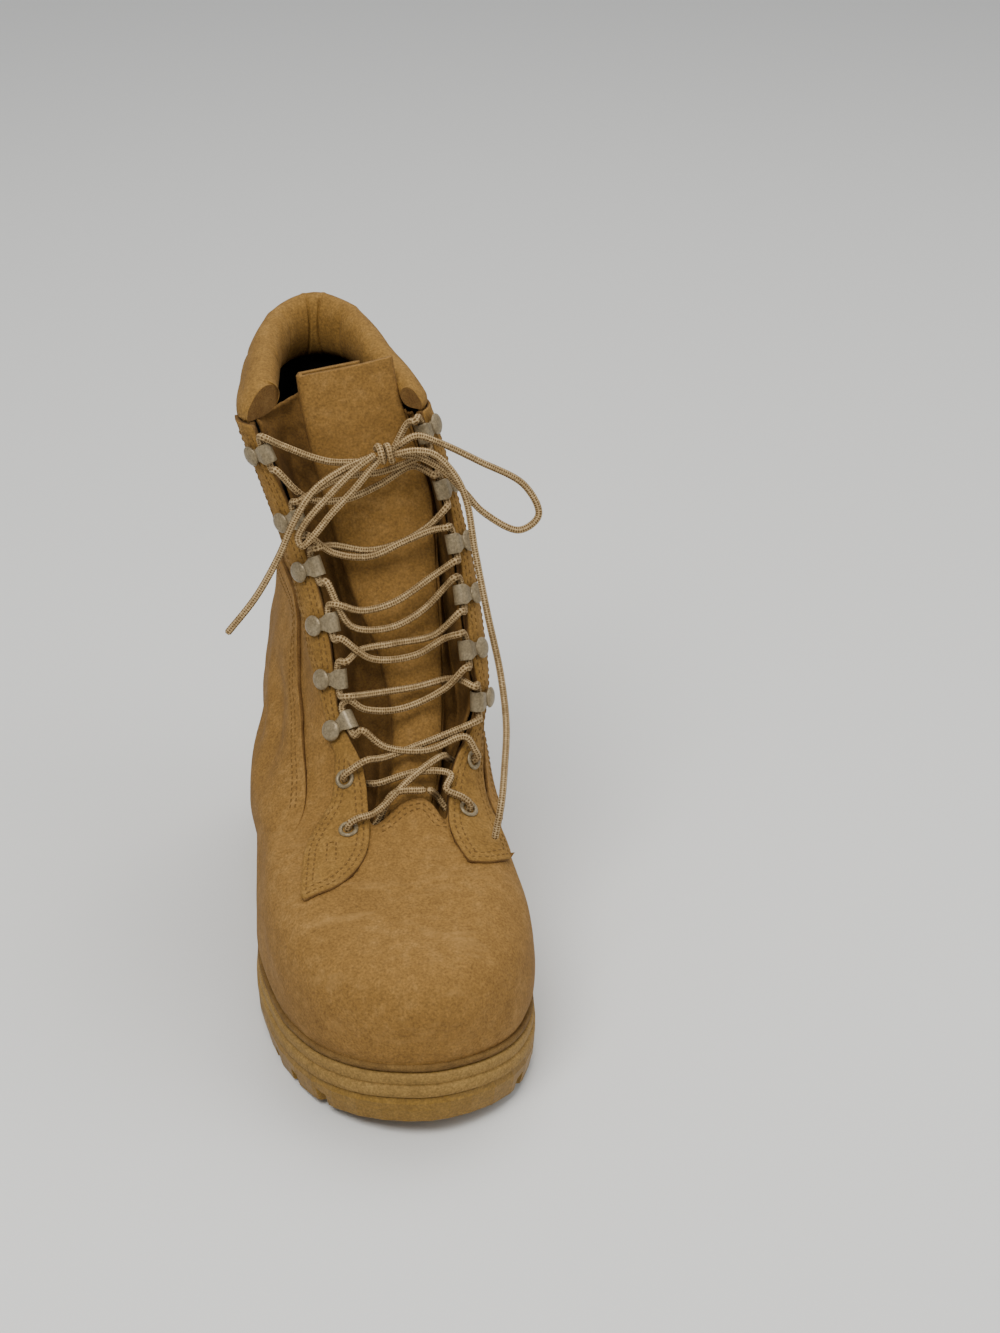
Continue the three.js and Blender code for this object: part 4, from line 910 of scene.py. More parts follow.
class Region:
    """Which points of the boot's surface belong to each panel."""

    def __init__(self, sole: SoleLines) -> None:
        """Works out the outlines in millimetres.

        Args:
            sole: The sole's lines.
        """
        self.base = sole.welt_top(0.0)
        self.arc = [(a * SHAFT_WIDTH, c * SHAFT_HEIGHT) for a, c in VAMP_EDGE.rows]
        self.back_line = [
            (row[0] * row[6], sole.welt_top(row[3] * SOLE_LENGTH) + row[4] * SHAFT_HEIGHT)
            for row in UPPER_SECTIONS.rows
        ]
        self.tabs: dict[int, list[tuple[float, float]]] = {}
        self.splits: dict[int, float] = {}
        for side, table in ((-1, OUTER_TAB), (1, INNER_TAB)):
            tab = [(a * SHAFT_WIDTH, c * SHAFT_HEIGHT) for a, c in table.rows]
            split = tab[-1][1]
            climbs = [c * SHAFT_HEIGHT for c in THROAT.column("climb") if c * SHAFT_HEIGHT < split]
            rim = [(throat_edge(side, c), c) for c in reversed(climbs)]
            self.tabs[side] = [(tab[-1][0], split + 1), (rim[0][0], split + 1), *rim, *tab]
            self.splits[side] = split
        self.seams = {
            side: [(a * SOLE_LENGTH, self.base + u * SHAFT_HEIGHT) for a, u in table.rows]
            for side, table in ((-1, OUTER_SEAM), (1, INNER_SEAM))
        }
        self.quarters = {
            side: [(row[0] * SOLE_LENGTH, self.base + row[k] * SHAFT_HEIGHT) for row in QUARTER_EDGE.rows]
            for side, k in ((-1, 1), (1, 2))
        }

    def in_throat(self, p: np.ndarray) -> bool:
        """Whether a point is in the opening between the facings.

        Args:
            p: The point.

        Returns:
            True if it is.
        """
        climb, rise = (p[1] + p[2]) * DIAGONAL, (p[2] - p[1]) * DIAGONAL
        share = climb / SHAFT_HEIGHT
        if share < THROAT.rows[0][0] or rise < SHAFT_HEIGHT * THROAT.read("climb", "rise", share):
            return False
        return throat_edge(-1, climb) < p[0] < throat_edge(1, climb)

    def in_vamp(self, p: np.ndarray) -> bool:
        """Whether a point is kept by the vamp's top edge.

        Args:
            p: The point.

        Returns:
            True if it is.
        """
        climb = (p[1] + p[2]) * DIAGONAL
        across = [a for a, _ in self.arc]
        return climb < smooth_read(across, [c for _, c in self.arc], p[0])

    def upper(self, p: np.ndarray) -> bool:
        """Whether a point is on the upper.

        Args:
            p: The point.

        Returns:
            True if it is.
        """
        return not self.in_throat(p) or self.in_vamp(p)

    def facing(self, side: int, p: np.ndarray) -> bool:
        """Whether a point is on a facing.

        Args:
            side: -1 for the outer side, 1 for the inner side.
            p: The point.

        Returns:
            True if it is.
        """
        if p[2] - p[1] < 0.6 * SHAFT_HEIGHT * DIAGONAL * 0.7 or self.in_throat(p):
            return False
        climb = (p[1] + p[2]) * DIAGONAL
        if climb < self.splits[side]:
            if side * p[0] < -10 or not inside_outline(p[0], climb, self.tabs[side]):
                return False
        elif side * p[0] < (0 if side > 0 else 4):
            return False
        seam = self.seams[side]
        return p[1] < smooth_line(seam, p[2])

    def quarter(self, side: int, p: np.ndarray) -> bool:
        """Whether a point is on a quarter.

        Args:
            side: -1 for the outer side, 1 for the inner side.
            p: The point.

        Returns:
            True if it is.
        """
        if side * p[0] < -30 or self.backstay_gap(p) < BACKSTAY_WIDTH / 2 + 0.3:
            return False
        if side * (p[0] - self.back_x(p[2])) < 0 and p[1] > 0:
            return False
        return inside_outline(p[1], p[2], self.quarters[side])

    def back_x(self, z: float) -> float:
        """x of the back seam at a height.

        Args:
            z: The height.

        Returns:
            x in millimetres.
        """
        return float(np.interp(z, [b for _, b in self.back_line], [a for a, _ in self.back_line]))

    def backstay_gap(self, p: np.ndarray) -> float:
        """Distance from the back seam across the heel.

        Args:
            p: The point.

        Returns:
            The distance, large away from the back.
        """
        return abs(p[0] - self.back_x(p[2])) if p[1] > 0.2 * SOLE_LENGTH else 1e3

    def backstay(self, p: np.ndarray) -> bool:
        """Whether a point is on the strip over the back seam.

        Args:
            p: The point.

        Returns:
            True if it is.
        """
        return self.backstay_gap(p) < BACKSTAY_WIDTH / 2


def smooth_line(line: Sequence[tuple[float, float]], z: float) -> float:
    """First coordinate of a line at a height.

    Args:
        line: Corners with rising second coordinate.
        z: The height.

    Returns:
        The first coordinate, far behind below the line's foot.
    """
    if z < line[0][1]:
        return -1e3
    return float(np.interp(z, [b for _, b in line], [a for a, _ in line]))


# Finishes


class Surface(Enum):
    """Kinds of surface."""

    SUEDE = "suede"
    RUBBER = "rubber"
    CLOTH = "cloth"
    METAL = "metal"
    BRAID = "braid"
    PLAIN = "plain"


@dataclass(frozen=True)
class Finish:
    """One finish: its colours in linear light and its surface."""

    name: str
    kind: Surface
    dark: tuple[float, float, float]
    base: tuple[float, float, float]
    light: tuple[float, float, float]
    roughness: float
    scale: float
    bump: float
    metallic: float = 0.0


SUEDE = Finish(
    "suede", Surface.SUEDE, (0.15, 0.075, 0.0155), (0.208, 0.108, 0.025), (0.3, 0.168, 0.05), 0.9, 1.0, 0.7
)
SUEDE_SHAFT = Finish(
    "suede_shaft", Surface.SUEDE, (0.15, 0.076, 0.015), (0.205, 0.108, 0.023), (0.285, 0.162, 0.045),
    0.9, 1.0, 0.6,
)
EDGE = Finish(
    "raw_edge", Surface.SUEDE, (0.07, 0.032, 0.008), (0.13, 0.065, 0.016), (0.22, 0.125, 0.04), 0.92, 1.6, 0.5
)
# Gusset colours held far below the suede's: painted shade for the shadowed gap beside the tongue
GUSSET_PAINTED_SHADE = Finish(
    "gusset", Surface.SUEDE, (0.06, 0.028, 0.006), (0.115, 0.056, 0.011), (0.19, 0.1, 0.026), 0.9, 1.2, 0.5
)
# Near-black inner cloth: painted shade for the inside of the boot, used on the upper's inner face and the
# insole
LINING_PAINTED_SHADE = Finish(
    "lining", Surface.CLOTH, (0.003, 0.003, 0.003), (0.007, 0.007, 0.007), (0.015, 0.014, 0.013),
    0.95, 1.0, 0.3,
)
THREAD = Finish(
    "thread", Surface.PLAIN, (0.1, 0.05, 0.01), (0.13, 0.068, 0.016), (0.16, 0.09, 0.03), 0.85, 1.0, 0.0
)
MIDSOLE = Finish(
    "midsole", Surface.RUBBER, (0.175, 0.1, 0.024), (0.235, 0.138, 0.036), (0.295, 0.18, 0.054),
    0.78, 1.0, 0.15,
)
WELT = Finish(
    "welt", Surface.RUBBER, (0.06, 0.03, 0.008), (0.14, 0.075, 0.018), (0.22, 0.125, 0.035), 0.85, 1.5, 0.3
)
OUTSOLE = Finish(
    "outsole", Surface.RUBBER, (0.14, 0.073, 0.011), (0.195, 0.107, 0.018), (0.26, 0.15, 0.032),
    0.5, 1.0, 0.12,
)
HARDWARE = Finish(
    "hardware", Surface.METAL, (0.13, 0.095, 0.05), (0.215, 0.165, 0.092), (0.29, 0.235, 0.145),
    0.42, 1.0, 0.05, 0.3,
)
LACE = Finish(
    "lace", Surface.BRAID, (0.1, 0.055, 0.016), (0.36, 0.245, 0.115), (0.46, 0.33, 0.17), 0.85, 1.0, 0.5
)
FLOOR = Finish(
    "floor", Surface.PLAIN, (0.7, 0.7, 0.7), (0.7, 0.69, 0.65), (0.76, 0.76, 0.76), 0.7, 1.0, 0.0
)


class Materials:
    """Makes each finish's material once, from shared node groups."""

    def __init__(self) -> None:
        """Makes the shared groups."""
        self.made: dict[str, bpy.types.Material] = {}
        self.mottle = self.make_mottle()
        self.braid = self.make_braid()
        self.scuff = self.make_scuff()

    @staticmethod
    def add(tree: bpy.types.NodeTree, kind: str, **values: object) -> bpy.types.Node:
        """Adds a node and sets its properties or inputs.

        Args:
            tree: The node tree.
            kind: The node's type.
            values: Property or input values by name, with _ for a space.

        Returns:
            The node.
        """
        node = tree.nodes.new(kind)
        for key, value in values.items():
            if hasattr(node, key):
                setattr(node, key, value)
            else:
                node.inputs[key.replace("_", " ")].default_value = value
        return node

    def make_mottle(self) -> bpy.types.NodeTree:
        """Group that mixes three colours by soft noise and gives a grain height.

        Returns:
            The group.
        """
        tree = bpy.data.node_groups.new("mottle", "ShaderNodeTree")
        link = tree.links.new
        sockets = (
            ("Scale", "Float"), ("Dark", "Color"), ("Base", "Color"), ("Light", "Color"), ("Fine", "Float"),
        )
        for name, kind in sockets:
            tree.interface.new_socket(name, in_out="INPUT", socket_type=f"NodeSocket{kind}")
        tree.interface.new_socket("Color", in_out="OUTPUT", socket_type="NodeSocketColor")
        tree.interface.new_socket("Height", in_out="OUTPUT", socket_type="NodeSocketFloat")
        source = tree.nodes.new("NodeGroupInput")
        sink = tree.nodes.new("NodeGroupOutput")
        place = tree.nodes.new("ShaderNodeTexCoord")
        scaled = self.add(tree, "ShaderNodeVectorMath", operation="SCALE")
        link(place.outputs["Object"], scaled.inputs[0])
        link(source.outputs["Scale"], scaled.inputs["Scale"])
        broad = self.add(tree, "ShaderNodeTexNoise", Scale=28.0, Detail=4.0, Roughness=0.6)
        middle = self.add(tree, "ShaderNodeTexNoise", Scale=170.0, Detail=5.0, Roughness=0.65)
        fine = self.add(tree, "ShaderNodeTexNoise", Scale=1000.0, Detail=3.0, Roughness=0.6)
        for noise in (broad, middle, fine):
            link(scaled.outputs[0], noise.inputs["Vector"])
        spread = self.add(tree, "ShaderNodeMapRange", From_Min=0.22, From_Max=0.78)
        both = self.add(tree, "ShaderNodeMix", data_type="FLOAT", Factor=0.6)
        link(broad.outputs["Fac"], both.inputs["A"])
        link(middle.outputs["Fac"], both.inputs["B"])
        link(both.outputs["Result"], spread.inputs["Value"])
        low = self.add(tree, "ShaderNodeMapRange", From_Max=0.5)
        high = self.add(tree, "ShaderNodeMapRange", From_Min=0.5)
        for node in (low, high):
            link(spread.outputs["Result"], node.inputs["Value"])
        first = self.add(tree, "ShaderNodeMix", data_type="RGBA")
        second = self.add(tree, "ShaderNodeMix", data_type="RGBA")
        link(low.outputs["Result"], first.inputs["Factor"])
        link(source.outputs["Dark"], first.inputs["A"])
        link(source.outputs["Base"], first.inputs["B"])
        link(high.outputs["Result"], second.inputs["Factor"])
        link(first.outputs["Result"], second.inputs["A"])
        link(source.outputs["Light"], second.inputs["B"])
        speckle = self.add(tree, "ShaderNodeMapRange", From_Min=0.3, From_Max=0.7, To_Min=0.66, To_Max=1.32)
        link(fine.outputs["Fac"], speckle.inputs["Value"])
        shade = self.add(tree, "ShaderNodeVectorMath", operation="SCALE")
        link(second.outputs["Result"], shade.inputs[0])
        link(speckle.outputs["Result"], shade.inputs["Scale"])
        height = self.add(tree, "ShaderNodeMix", data_type="FLOAT")
        link(source.outputs["Fine"], height.inputs["Factor"])
        link(middle.outputs["Fac"], height.inputs["A"])
        link(fine.outputs["Fac"], height.inputs["B"])
        link(shade.outputs[0], sink.inputs["Color"])
        link(height.outputs["Result"], sink.inputs["Height"])
        return tree

    def make_scuff(self) -> bpy.types.NodeTree:
        """Group that gives a mask of pale rubbed streaks on the toe and vamp.

        Returns:
            The group.
        """
        tree = bpy.data.node_groups.new("scuff", "ShaderNodeTree")
        link = tree.links.new
        tree.interface.new_socket("Mask", in_out="OUTPUT", socket_type="NodeSocketFloat")
        sink = tree.nodes.new("NodeGroupOutput")
        place = tree.nodes.new("ShaderNodeTexCoord")
        stretch = self.add(tree, "ShaderNodeMapping", Scale=(22.0, 75.0, 75.0))
        link(place.outputs["Object"], stretch.inputs["Vector"])
        noise = self.add(tree, "ShaderNodeTexNoise", Scale=1.0, Detail=6.0, Roughness=0.7)
        link(stretch.outputs["Vector"], noise.inputs["Vector"])
        level = self.add(tree, "ShaderNodeMapRange", From_Min=0.55, From_Max=0.78)
        link(noise.outputs["Fac"], level.inputs["Value"])
        split = tree.nodes.new("ShaderNodeSeparateXYZ")
        link(place.outputs["Object"], split.inputs[0])
        front = self.add(tree, "ShaderNodeMapRange", From_Min=-0.03, From_Max=-0.09, To_Min=0.35)
        link(split.outputs["Y"], front.inputs["Value"])
        product = self.add(tree, "ShaderNodeMath", operation="MULTIPLY")
        link(level.outputs["Result"], product.inputs[0])
        link(front.outputs["Result"], product.inputs[1])
        link(product.outputs[0], sink.inputs["Mask"])
        return tree

    def make_braid(self) -> bpy.types.NodeTree:
        """Group that gives the lace's woven pattern along its own run.

        Returns:
            The group.
        """
        tree = bpy.data.node_groups.new("braid", "ShaderNodeTree")
        link = tree.links.new
        tree.interface.new_socket("Mask", in_out="OUTPUT", socket_type="NodeSocketFloat")
        tree.interface.new_socket("Height", in_out="OUTPUT", socket_type="NodeSocketFloat")
        sink = tree.nodes.new("NodeGroupOutput")
        run = self.add(tree, "ShaderNodeUVMap", uv_map="run")
        split = tree.nodes.new("ShaderNodeSeparateXYZ")
        link(run.outputs["UV"], split.inputs[0])

        def strands(turn: float) -> bpy.types.NodeSocket:
            """Adds the nodes of one set of strands.

            Args:
                turn: Strands round the cord, negative for those that run the other way.

            Returns:
                The height of the strands.
            """
            around = self.add(tree, "ShaderNodeMath", operation="MULTIPLY")
            around.inputs[1].default_value = turn
            along = self.add(tree, "ShaderNodeMath", operation="MULTIPLY_ADD")
            along.inputs[1].default_value = 0.5
            wave = self.add(tree, "ShaderNodeMath", operation="MULTIPLY")
            wave.inputs[1].default_value = 2 * math.pi
            sine = self.add(tree, "ShaderNodeMath", operation="SINE")
            link(split.outputs["X"], around.inputs[0])
            link(split.outputs["Y"], along.inputs[0])
            link(around.outputs[0], along.inputs[2])
            link(along.outputs[0], wave.inputs[0])
            link(wave.outputs[0], sine.inputs[0])
            return sine.outputs[0]

        left, right = strands(3.0), strands(-3.0)
        product = self.add(tree, "ShaderNodeMath", operation="MULTIPLY")
        link(left, product.inputs[0])
        link(right, product.inputs[1])
        top = self.add(tree, "ShaderNodeMath", operation="MAXIMUM")
        link(left, top.inputs[0])
        link(right, top.inputs[1])
        mask = self.add(tree, "ShaderNodeMapRange", From_Min=0.0, From_Max=0.35)
        link(product.outputs[0], mask.inputs["Value"])
        link(mask.outputs["Result"], sink.inputs["Mask"])
        link(top.outputs[0], sink.inputs["Height"])
        return tree

    def get(self, finish: Finish) -> bpy.types.Material:
        """The material of a finish.

        Args:
            finish: The finish.

        Returns:
            The material, made on first use.
        """
        if finish.name not in self.made:
            self.made[finish.name] = self.make(finish)
        return self.made[finish.name]

    def make(self, finish: Finish) -> bpy.types.Material:
        """Makes one material.

        Args:
            finish: The finish.

        Returns:
            The material.
        """
        material = bpy.data.materials.new(finish.name)
        material.use_nodes = True
        tree = material.node_tree
        link = tree.links.new
        shader = tree.nodes["Principled BSDF"]
        shader.inputs["Roughness"].default_value = finish.roughness
        shader.inputs["Metallic"].default_value = finish.metallic
        shader.inputs["Specular IOR Level"].default_value = 0.25
        if finish.kind == Surface.PLAIN:
            shader.inputs["Base Color"].default_value = (*finish.base, 1)
            return material
        group = tree.nodes.new("ShaderNodeGroup")
        group.node_tree = self.mottle
        group.inputs["Scale"].default_value = finish.scale
        group.inputs["Dark"].default_value = (*finish.dark, 1)
        group.inputs["Base"].default_value = (*finish.base, 1)
        group.inputs["Light"].default_value = (*finish.light, 1)
        group.inputs["Fine"].default_value = 0.6
        colour, height = group.outputs["Color"], group.outputs["Height"]
        if finish.kind in (Surface.SUEDE, Surface.BRAID):
            extra = tree.nodes.new("ShaderNodeGroup")
            extra.node_tree = self.scuff if finish.kind == Surface.SUEDE else self.braid
            blend = self.add(tree, "ShaderNodeMix", data_type="RGBA")
            link(colour, blend.inputs["A"])
            link(extra.outputs["Mask"], blend.inputs["Factor"])
            tint = (*finish.light, 1) if finish.kind == Surface.SUEDE else (*finish.dark, 1)
            blend.inputs["B"].default_value = tint
            colour = blend.outputs["Result"]
            if finish.kind == Surface.BRAID:
                height = extra.outputs["Height"]
        link(colour, shader.inputs["Base Color"])
        bump = tree.nodes.new("ShaderNodeBump")
        bump.inputs["Strength"].default_value = finish.bump
        bump.inputs["Distance"].default_value = 0.0004
        link(height, bump.inputs["Height"])
        link(bump.outputs["Normal"], shader.inputs["Normal"])
        return material


# Surface detail


@dataclass(frozen=True)
class Crease:
    """A soft fold along a line on the surface, in millimetres."""

    line: tuple[tuple[float, float, float], ...]
    depth: float
    width: float

    def lift(self, points: np.ndarray) -> np.ndarray:
        """How far the crease moves each point outwards.

        Args:
            points: Points, one row each.

        Returns:
            One distance a point, negative inwards.
        """
        smooth = np.array([catmull(self.line, False, t) for t in np.linspace(0, 1, 40)])
        gaps = np.linalg.norm(points[:, None, :] - smooth[None, :, :], axis=2)
        nearest = gaps.argmin(axis=1)
        gap = gaps.min(axis=1)
        taper = np.sin(math.pi * (nearest + 1.5) / 42) ** 0.7
        dip = -np.exp(-((gap / self.width) ** 2))
        ridge = 0.4 * np.exp(-(((gap - 2.1 * self.width) / self.width) ** 2))
        return self.depth * taper * (dip + ridge)


UPPER_CREASES = (
    Crease(((-30, -88, 66), (-10, -90, 79), (14, -90, 80), (40, -92, 68)), 1, 3.2),
    Crease(((-44, -72, 60), (-30, -76, 73), (-12, -80, 82), (8, -80, 84)), 1.3, 3.0),
    Crease(((4, -72, 87), (22, -76, 84), (38, -82, 74), (50, -88, 58)), 1.3, 3.0),
    Crease(((-52, -60, 44), (-46, -64, 58), (-38, -68, 68)), 1.2, 3.5),
    Crease(((52, -76, 44), (48, -72, 58), (42, -66, 70)), 1.2, 3.5),
    Crease(((-45, -10, 82), (-42, 12, 98), (-40, 34, 112), (-38, 56, 120)), 2.3, 6.0),
    Crease(((-47, 6, 74), (-44, 30, 92), (-41, 54, 102), (-36, 78, 108)), 1.7, 5.0),
    Crease(((44, 0, 92), (40, 22, 106), (36, 48, 116)), 2, 6.0),
    Crease(((42, 14, 80), (38, 40, 96), (34, 66, 104)), 1.6, 5.0),
    Crease(((-34, 98, 132), (-14, 118, 128), (8, 120, 128), (26, 100, 132)), 2, 6.0),
    Crease(((-36, 92, 152), (-14, 114, 148), (8, 114, 148), (24, 94, 152)), 1.4, 5.0),
    Crease(((-42, 60, 176), (-40, 76, 168), (-32, 96, 166)), 1.7, 6.0),
    Crease(((-46, 40, 208), (-44, 60, 202), (-40, 84, 204)), 1.9, 6.0),
    Crease(((34, 50, 190), (32, 70, 182), (26, 88, 180)), 1.6, 6.0),
)


@dataclass
class Panel:
    """A leather panel: the part of the boot's surface that a test keeps."""

    name: str
    test: Callable[[np.ndarray], bool]
    out: float
    thickness: float
    finishes: tuple[bpy.types.Material, ...]
    pinch: float = 0.35
    flush: Callable[[np.ndarray], float] | None = None
    points: np.ndarray = field(default_factory=lambda: np.zeros((0, 3)))
    normals: np.ndarray = field(default_factory=lambda: np.zeros((0, 3)))
    loops: list[list[int]] = field(default_factory=list)
    inward: dict[int, np.ndarray] = field(default_factory=dict)

    def build(self, face: BootFace) -> bpy.types.Object:
        """Builds the panel from the surface grid.

        Args:
            face: The boot's surface.

        Returns:
            The panel's object.
        """
        grid = face.off(self.out)
        rows, columns = grid.shape[:2]
        inside = np.array([[self.test(grid[i, j]) for j in range(columns)] for i in range(rows)])
        places = grid.reshape(-1, 3).copy()
        normals = face.normals.reshape(-1, 3).copy()
        kept, moves = inside.reshape(-1).copy(), {}
        for i in range(rows):
            for j in range(columns):
                for di, dj in ((1, 0), (0, 1)):
                    if i + di >= rows or inside[i, j] == inside[i + di, (j + dj) % columns]:
                        continue
                    pair = (i * columns + j, (i + di) * columns + (j + dj) % columns)
                    self.find_crossing(pair, inside, grid, moves)
        for index, (share, other) in moves.items():
            places[index] = grid.reshape(-1, 3)[index] * (1 - share) + grid.reshape(-1, 3)[other] * share
            blended = normals[index] * (1 - share) + normals[other] * share
            normals[index] = blended / np.linalg.norm(blended)
            kept[index] = True
        faces = []
        for i in range(rows - 1):
            for j in range(columns):
                k = (j + 1) % columns
                corners = [i * columns + j, (i + 1) * columns + j, (i + 1) * columns + k, i * columns + k]
                corners = [c for c in corners if kept[c]]
                if len(corners) >= 3:
                    faces.append(corners)
        used = sorted({c for f in faces for c in f})
        renumber = {old: new for new, old in enumerate(used)}
        faces = [[renumber[c] for c in f] for f in faces]
        self.points, self.normals = places[used], normals[used]
        self.find_loops(faces)
        self.shape()
        obj = write_mesh(self.name, self.points, faces, self.finishes)
        if self.thickness:
            add_modifier(
                obj, "SOLIDIFY", thickness=self.thickness * MM, offset=-1.0,
                material_offset=1, material_offset_rim=2,
            )
        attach(obj, "root")
        return obj

    def find_crossing(
        self, pair: tuple[int, int], inside: np.ndarray, grid: np.ndarray, moves: dict[int, tuple[float, int]]
    ) -> None:
        """Finds where the outline crosses a grid edge and books the nearer corner's move.

        Args:
            pair: The two corners.
            inside: Which corners are inside.
            grid: The grid's points.
            moves: Booked moves, which are added to.
        """
        flat, keep = grid.reshape(-1, 3), inside.reshape(-1)
        a, b = pair if keep[pair[0]] else (pair[1], pair[0])
        low, high = 0.0, 1.0
        for _ in range(7):
            middle = (low + high) / 2
            if self.test(flat[a] * (1 - middle) + flat[b] * middle):
                low = middle
            else:
                high = middle
        index, share, other = (a, low, b) if low < 0.5 else (b, 1 - low, a)
        if index not in moves or share < moves[index][0]:
            moves[index] = (share, other)

    def find_loops(self, faces: list[list[int]]) -> None:
        """Finds the panel's outline loops and the inward direction along them.

        Args:
            faces: The panel's faces.
        """
        count: dict[tuple[int, int], list[int]] = {}
        for number, corners in enumerate(faces):
            for a, b in zip(corners, corners[1:] + corners[:1]):
                count.setdefault((min(a, b), max(a, b)), []).append(number)
        follows: dict[int, list[int]] = {}
        for (a, b), owners in count.items():
            if len(owners) == 1:
                follows.setdefault(a, []).append(b)
                follows.setdefault(b, []).append(a)
                middle = self.points[faces[owners[0]]].mean(axis=0)
                for v in (a, b):
                    self.inward[v] = self.inward.get(v, np.zeros(3)) + middle - self.points[v]
        left = set(follows)
        self.loops = []
        while left:
            start = left.pop()
            loop, here, before = [start], start, -1
            while True:
                ways = [n for n in follows[here] if n != before and (n in left or n == start)]
                if not ways or ways[0] == start:
                    break
                before, here = here, ways[0]
                loop.append(here)
                left.discard(here)
            if len(loop) > 12:
                self.loops.append(loop)

    def shape(self) -> None:
        """Smooths the outline and moves the surface by creases, soft waves and the pull of its seams."""
        for loop in self.loops:
            for _ in range(3):
                run = self.points[loop]
                self.points[loop] = run * 0.5 + (np.roll(run, 1, axis=0) + np.roll(run, -1, axis=0)) * 0.25
        lift = 0.28 * waves(self.points, (46.0, 31.0, 19.0), 0.7)
        for crease in UPPER_CREASES:
            lift += crease.lift(self.points)
        gap = self.edge_gap(self.points)
        lift *= np.clip(gap / 8.0, 0.0, 1.0)
        lift -= self.pinch * np.exp(-(((gap - 2.4) / 1.1) ** 2))
        lift -= 0.35 * self.pinch * np.exp(-(((gap - 5.2) / 1.1) ** 2))
        lift -= 0.4 * np.exp(-((gap / 0.8) ** 2))
        if self.flush:
            lift -= (PANEL_OUT - UPPER_WALL) * np.array([self.flush(p) for p in self.points])
        self.points = self.points + self.normals * lift[:, None]

    def edge_gap(self, points: np.ndarray) -> np.ndarray:
        """Distance of points from the panel's outline.

        Args:
            points: Points, one row each.

        Returns:
            One distance a point.
        """
        tree = point_tree([self.points[i] for loop in self.loops for i in loop])
        return np.array([tree.find(Vector(p))[2] for p in points])

    def seams(
        self, inset: float, keep: Callable[[np.ndarray], bool]
    ) -> list[tuple[np.ndarray, np.ndarray]]:
        """Lines along the panel's outline, drawn in by a distance.

        Args:
            inset: The distance.
            keep: Which stretches are wanted.

        Returns:
            Pairs of points and normals.
        """
        surface = point_tree(self.points)
        runs: list[tuple[np.ndarray, np.ndarray]] = []
        for loop in self.loops:
            places, outs, flags = [], [], []
            for k, i in enumerate(loop):
                along = self.points[loop[(k + 1) % len(loop)]] - self.points[loop[k - 1]]
                inward = np.cross(self.normals[i], along)
                inward *= 1 if np.dot(inward, self.inward[i]) > 0 else -1
                p = self.points[i] + inward / max(np.linalg.norm(inward), 1e-6) * inset
                near = surface.find(Vector(p))[1]
                n = self.normals[near]
                p = p + n * np.dot(self.points[near] - p, n)
                places.append(p)
                outs.append(n)
                flags.append(keep(p))
            gaps = self.edge_gap(np.array(places))
            flags = [f and g > 0.8 * inset for f, g in zip(flags, gaps)]
            if all(flags):
                places.append(places[0])
                outs.append(outs[0])
                flags.append(True)
            else:
                first = flags.index(False)
                places, outs = places[first:] + places[:first], outs[first:] + outs[:first]
                flags = flags[first:] + flags[:first]
            run: list[int] = []
            for k, flag in enumerate([*flags, False]):
                if flag:
                    run.append(k)
                elif len(run) > 3:
                    runs.append((np.array([places[m] for m in run]), np.array([outs[m] for m in run])))
                    run = []
                else:
                    run = []
        return runs


@dataclass
class Stitching:
    """Rows of stitches gathered into one piece."""

    name: str
    material: bpy.types.Material
    pitch: float = 3.0
    length: float = 2.1
    radius: float = 0.33
    points: list[np.ndarray] = field(default_factory=list)
    faces: list[list[int]] = field(default_factory=list)

    def add_row(self, line: np.ndarray, normals: np.ndarray) -> None:
        """Adds stitches along a line.

        Args:
            line: Points of the line.
            normals: Outward normals at the points.
        """
        lengths = np.concatenate(([0.0], np.cumsum(np.linalg.norm(np.diff(line, axis=0), axis=1))))
        count = int(lengths[-1] / self.pitch)
        for k in range(count):
            marks = k * self.pitch + np.array([0.0, 0.2, 0.8, 1.0]) * self.length
            run = np.stack([np.interp(marks, lengths, line[:, c]) for c in range(3)], axis=1)
            out = np.array([np.interp(marks[1], lengths, normals[:, c]) for c in range(3)])
            out /= np.linalg.norm(out)
            along = run[-1] - run[0]
            if np.linalg.norm(along) < 0.3 * self.length:
                continue
            side = np.cross(along / np.linalg.norm(along), out)
            base = len(self.points)
            for place, rise, wide in zip(run, (-0.3, 0.02, 0.02, -0.3), (0.5, 1.0, 1.0, 0.5)):
                for turn in range(5):
                    angle = 2 * math.pi * turn / 5
                    round_out = out * math.cos(angle) + side * math.sin(angle)
                    self.points.append(place + out * rise + round_out * self.radius * wide)
            for ring in range(3):
                for turn in range(5):
                    a, b = base + ring * 5 + turn, base + ring * 5 + (turn + 1) % 5
                    self.faces.append([a, b, b + 5, a + 5])

    def add_along(self, panel: Panel, insets: Sequence[float], keep: Callable[[np.ndarray], bool]) -> None:
        """Adds rows along a panel's outline.

        Args:
            panel: The panel.
            insets: Distance of each row from the outline.
            keep: Which stretches are wanted.
        """
        for inset in insets:
            for line, normals in panel.seams(inset, keep):
                self.add_row(line, normals)

    def build(self) -> bpy.types.Object:
        """Builds all rows as one piece.

        Returns:
            The object.
        """
        obj = write_mesh(self.name, self.points, self.faces, [self.material])
        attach(obj, "root")
        return obj


def loft_faces(count: int, rings: int, closed: bool = False) -> list[list[int]]:
    """Faces between rings of points.

    Args:
        count: Points a ring.
        rings: Number of rings.
        closed: Whether the last ring meets the first, else the ends are capped.

    Returns:
        Vertex indices of each face.
    """
    faces = []
    for r in range(rings if closed else rings - 1):
        n = (r + 1) % rings
        for i in range(count):
            j = (i + 1) % count
            faces.append([r * count + i, r * count + j, n * count + j, n * count + i])
    if not closed:
        faces.append(list(range(count))[::-1])
        faces.append([(rings - 1) * count + i for i in range(count)])
    return faces


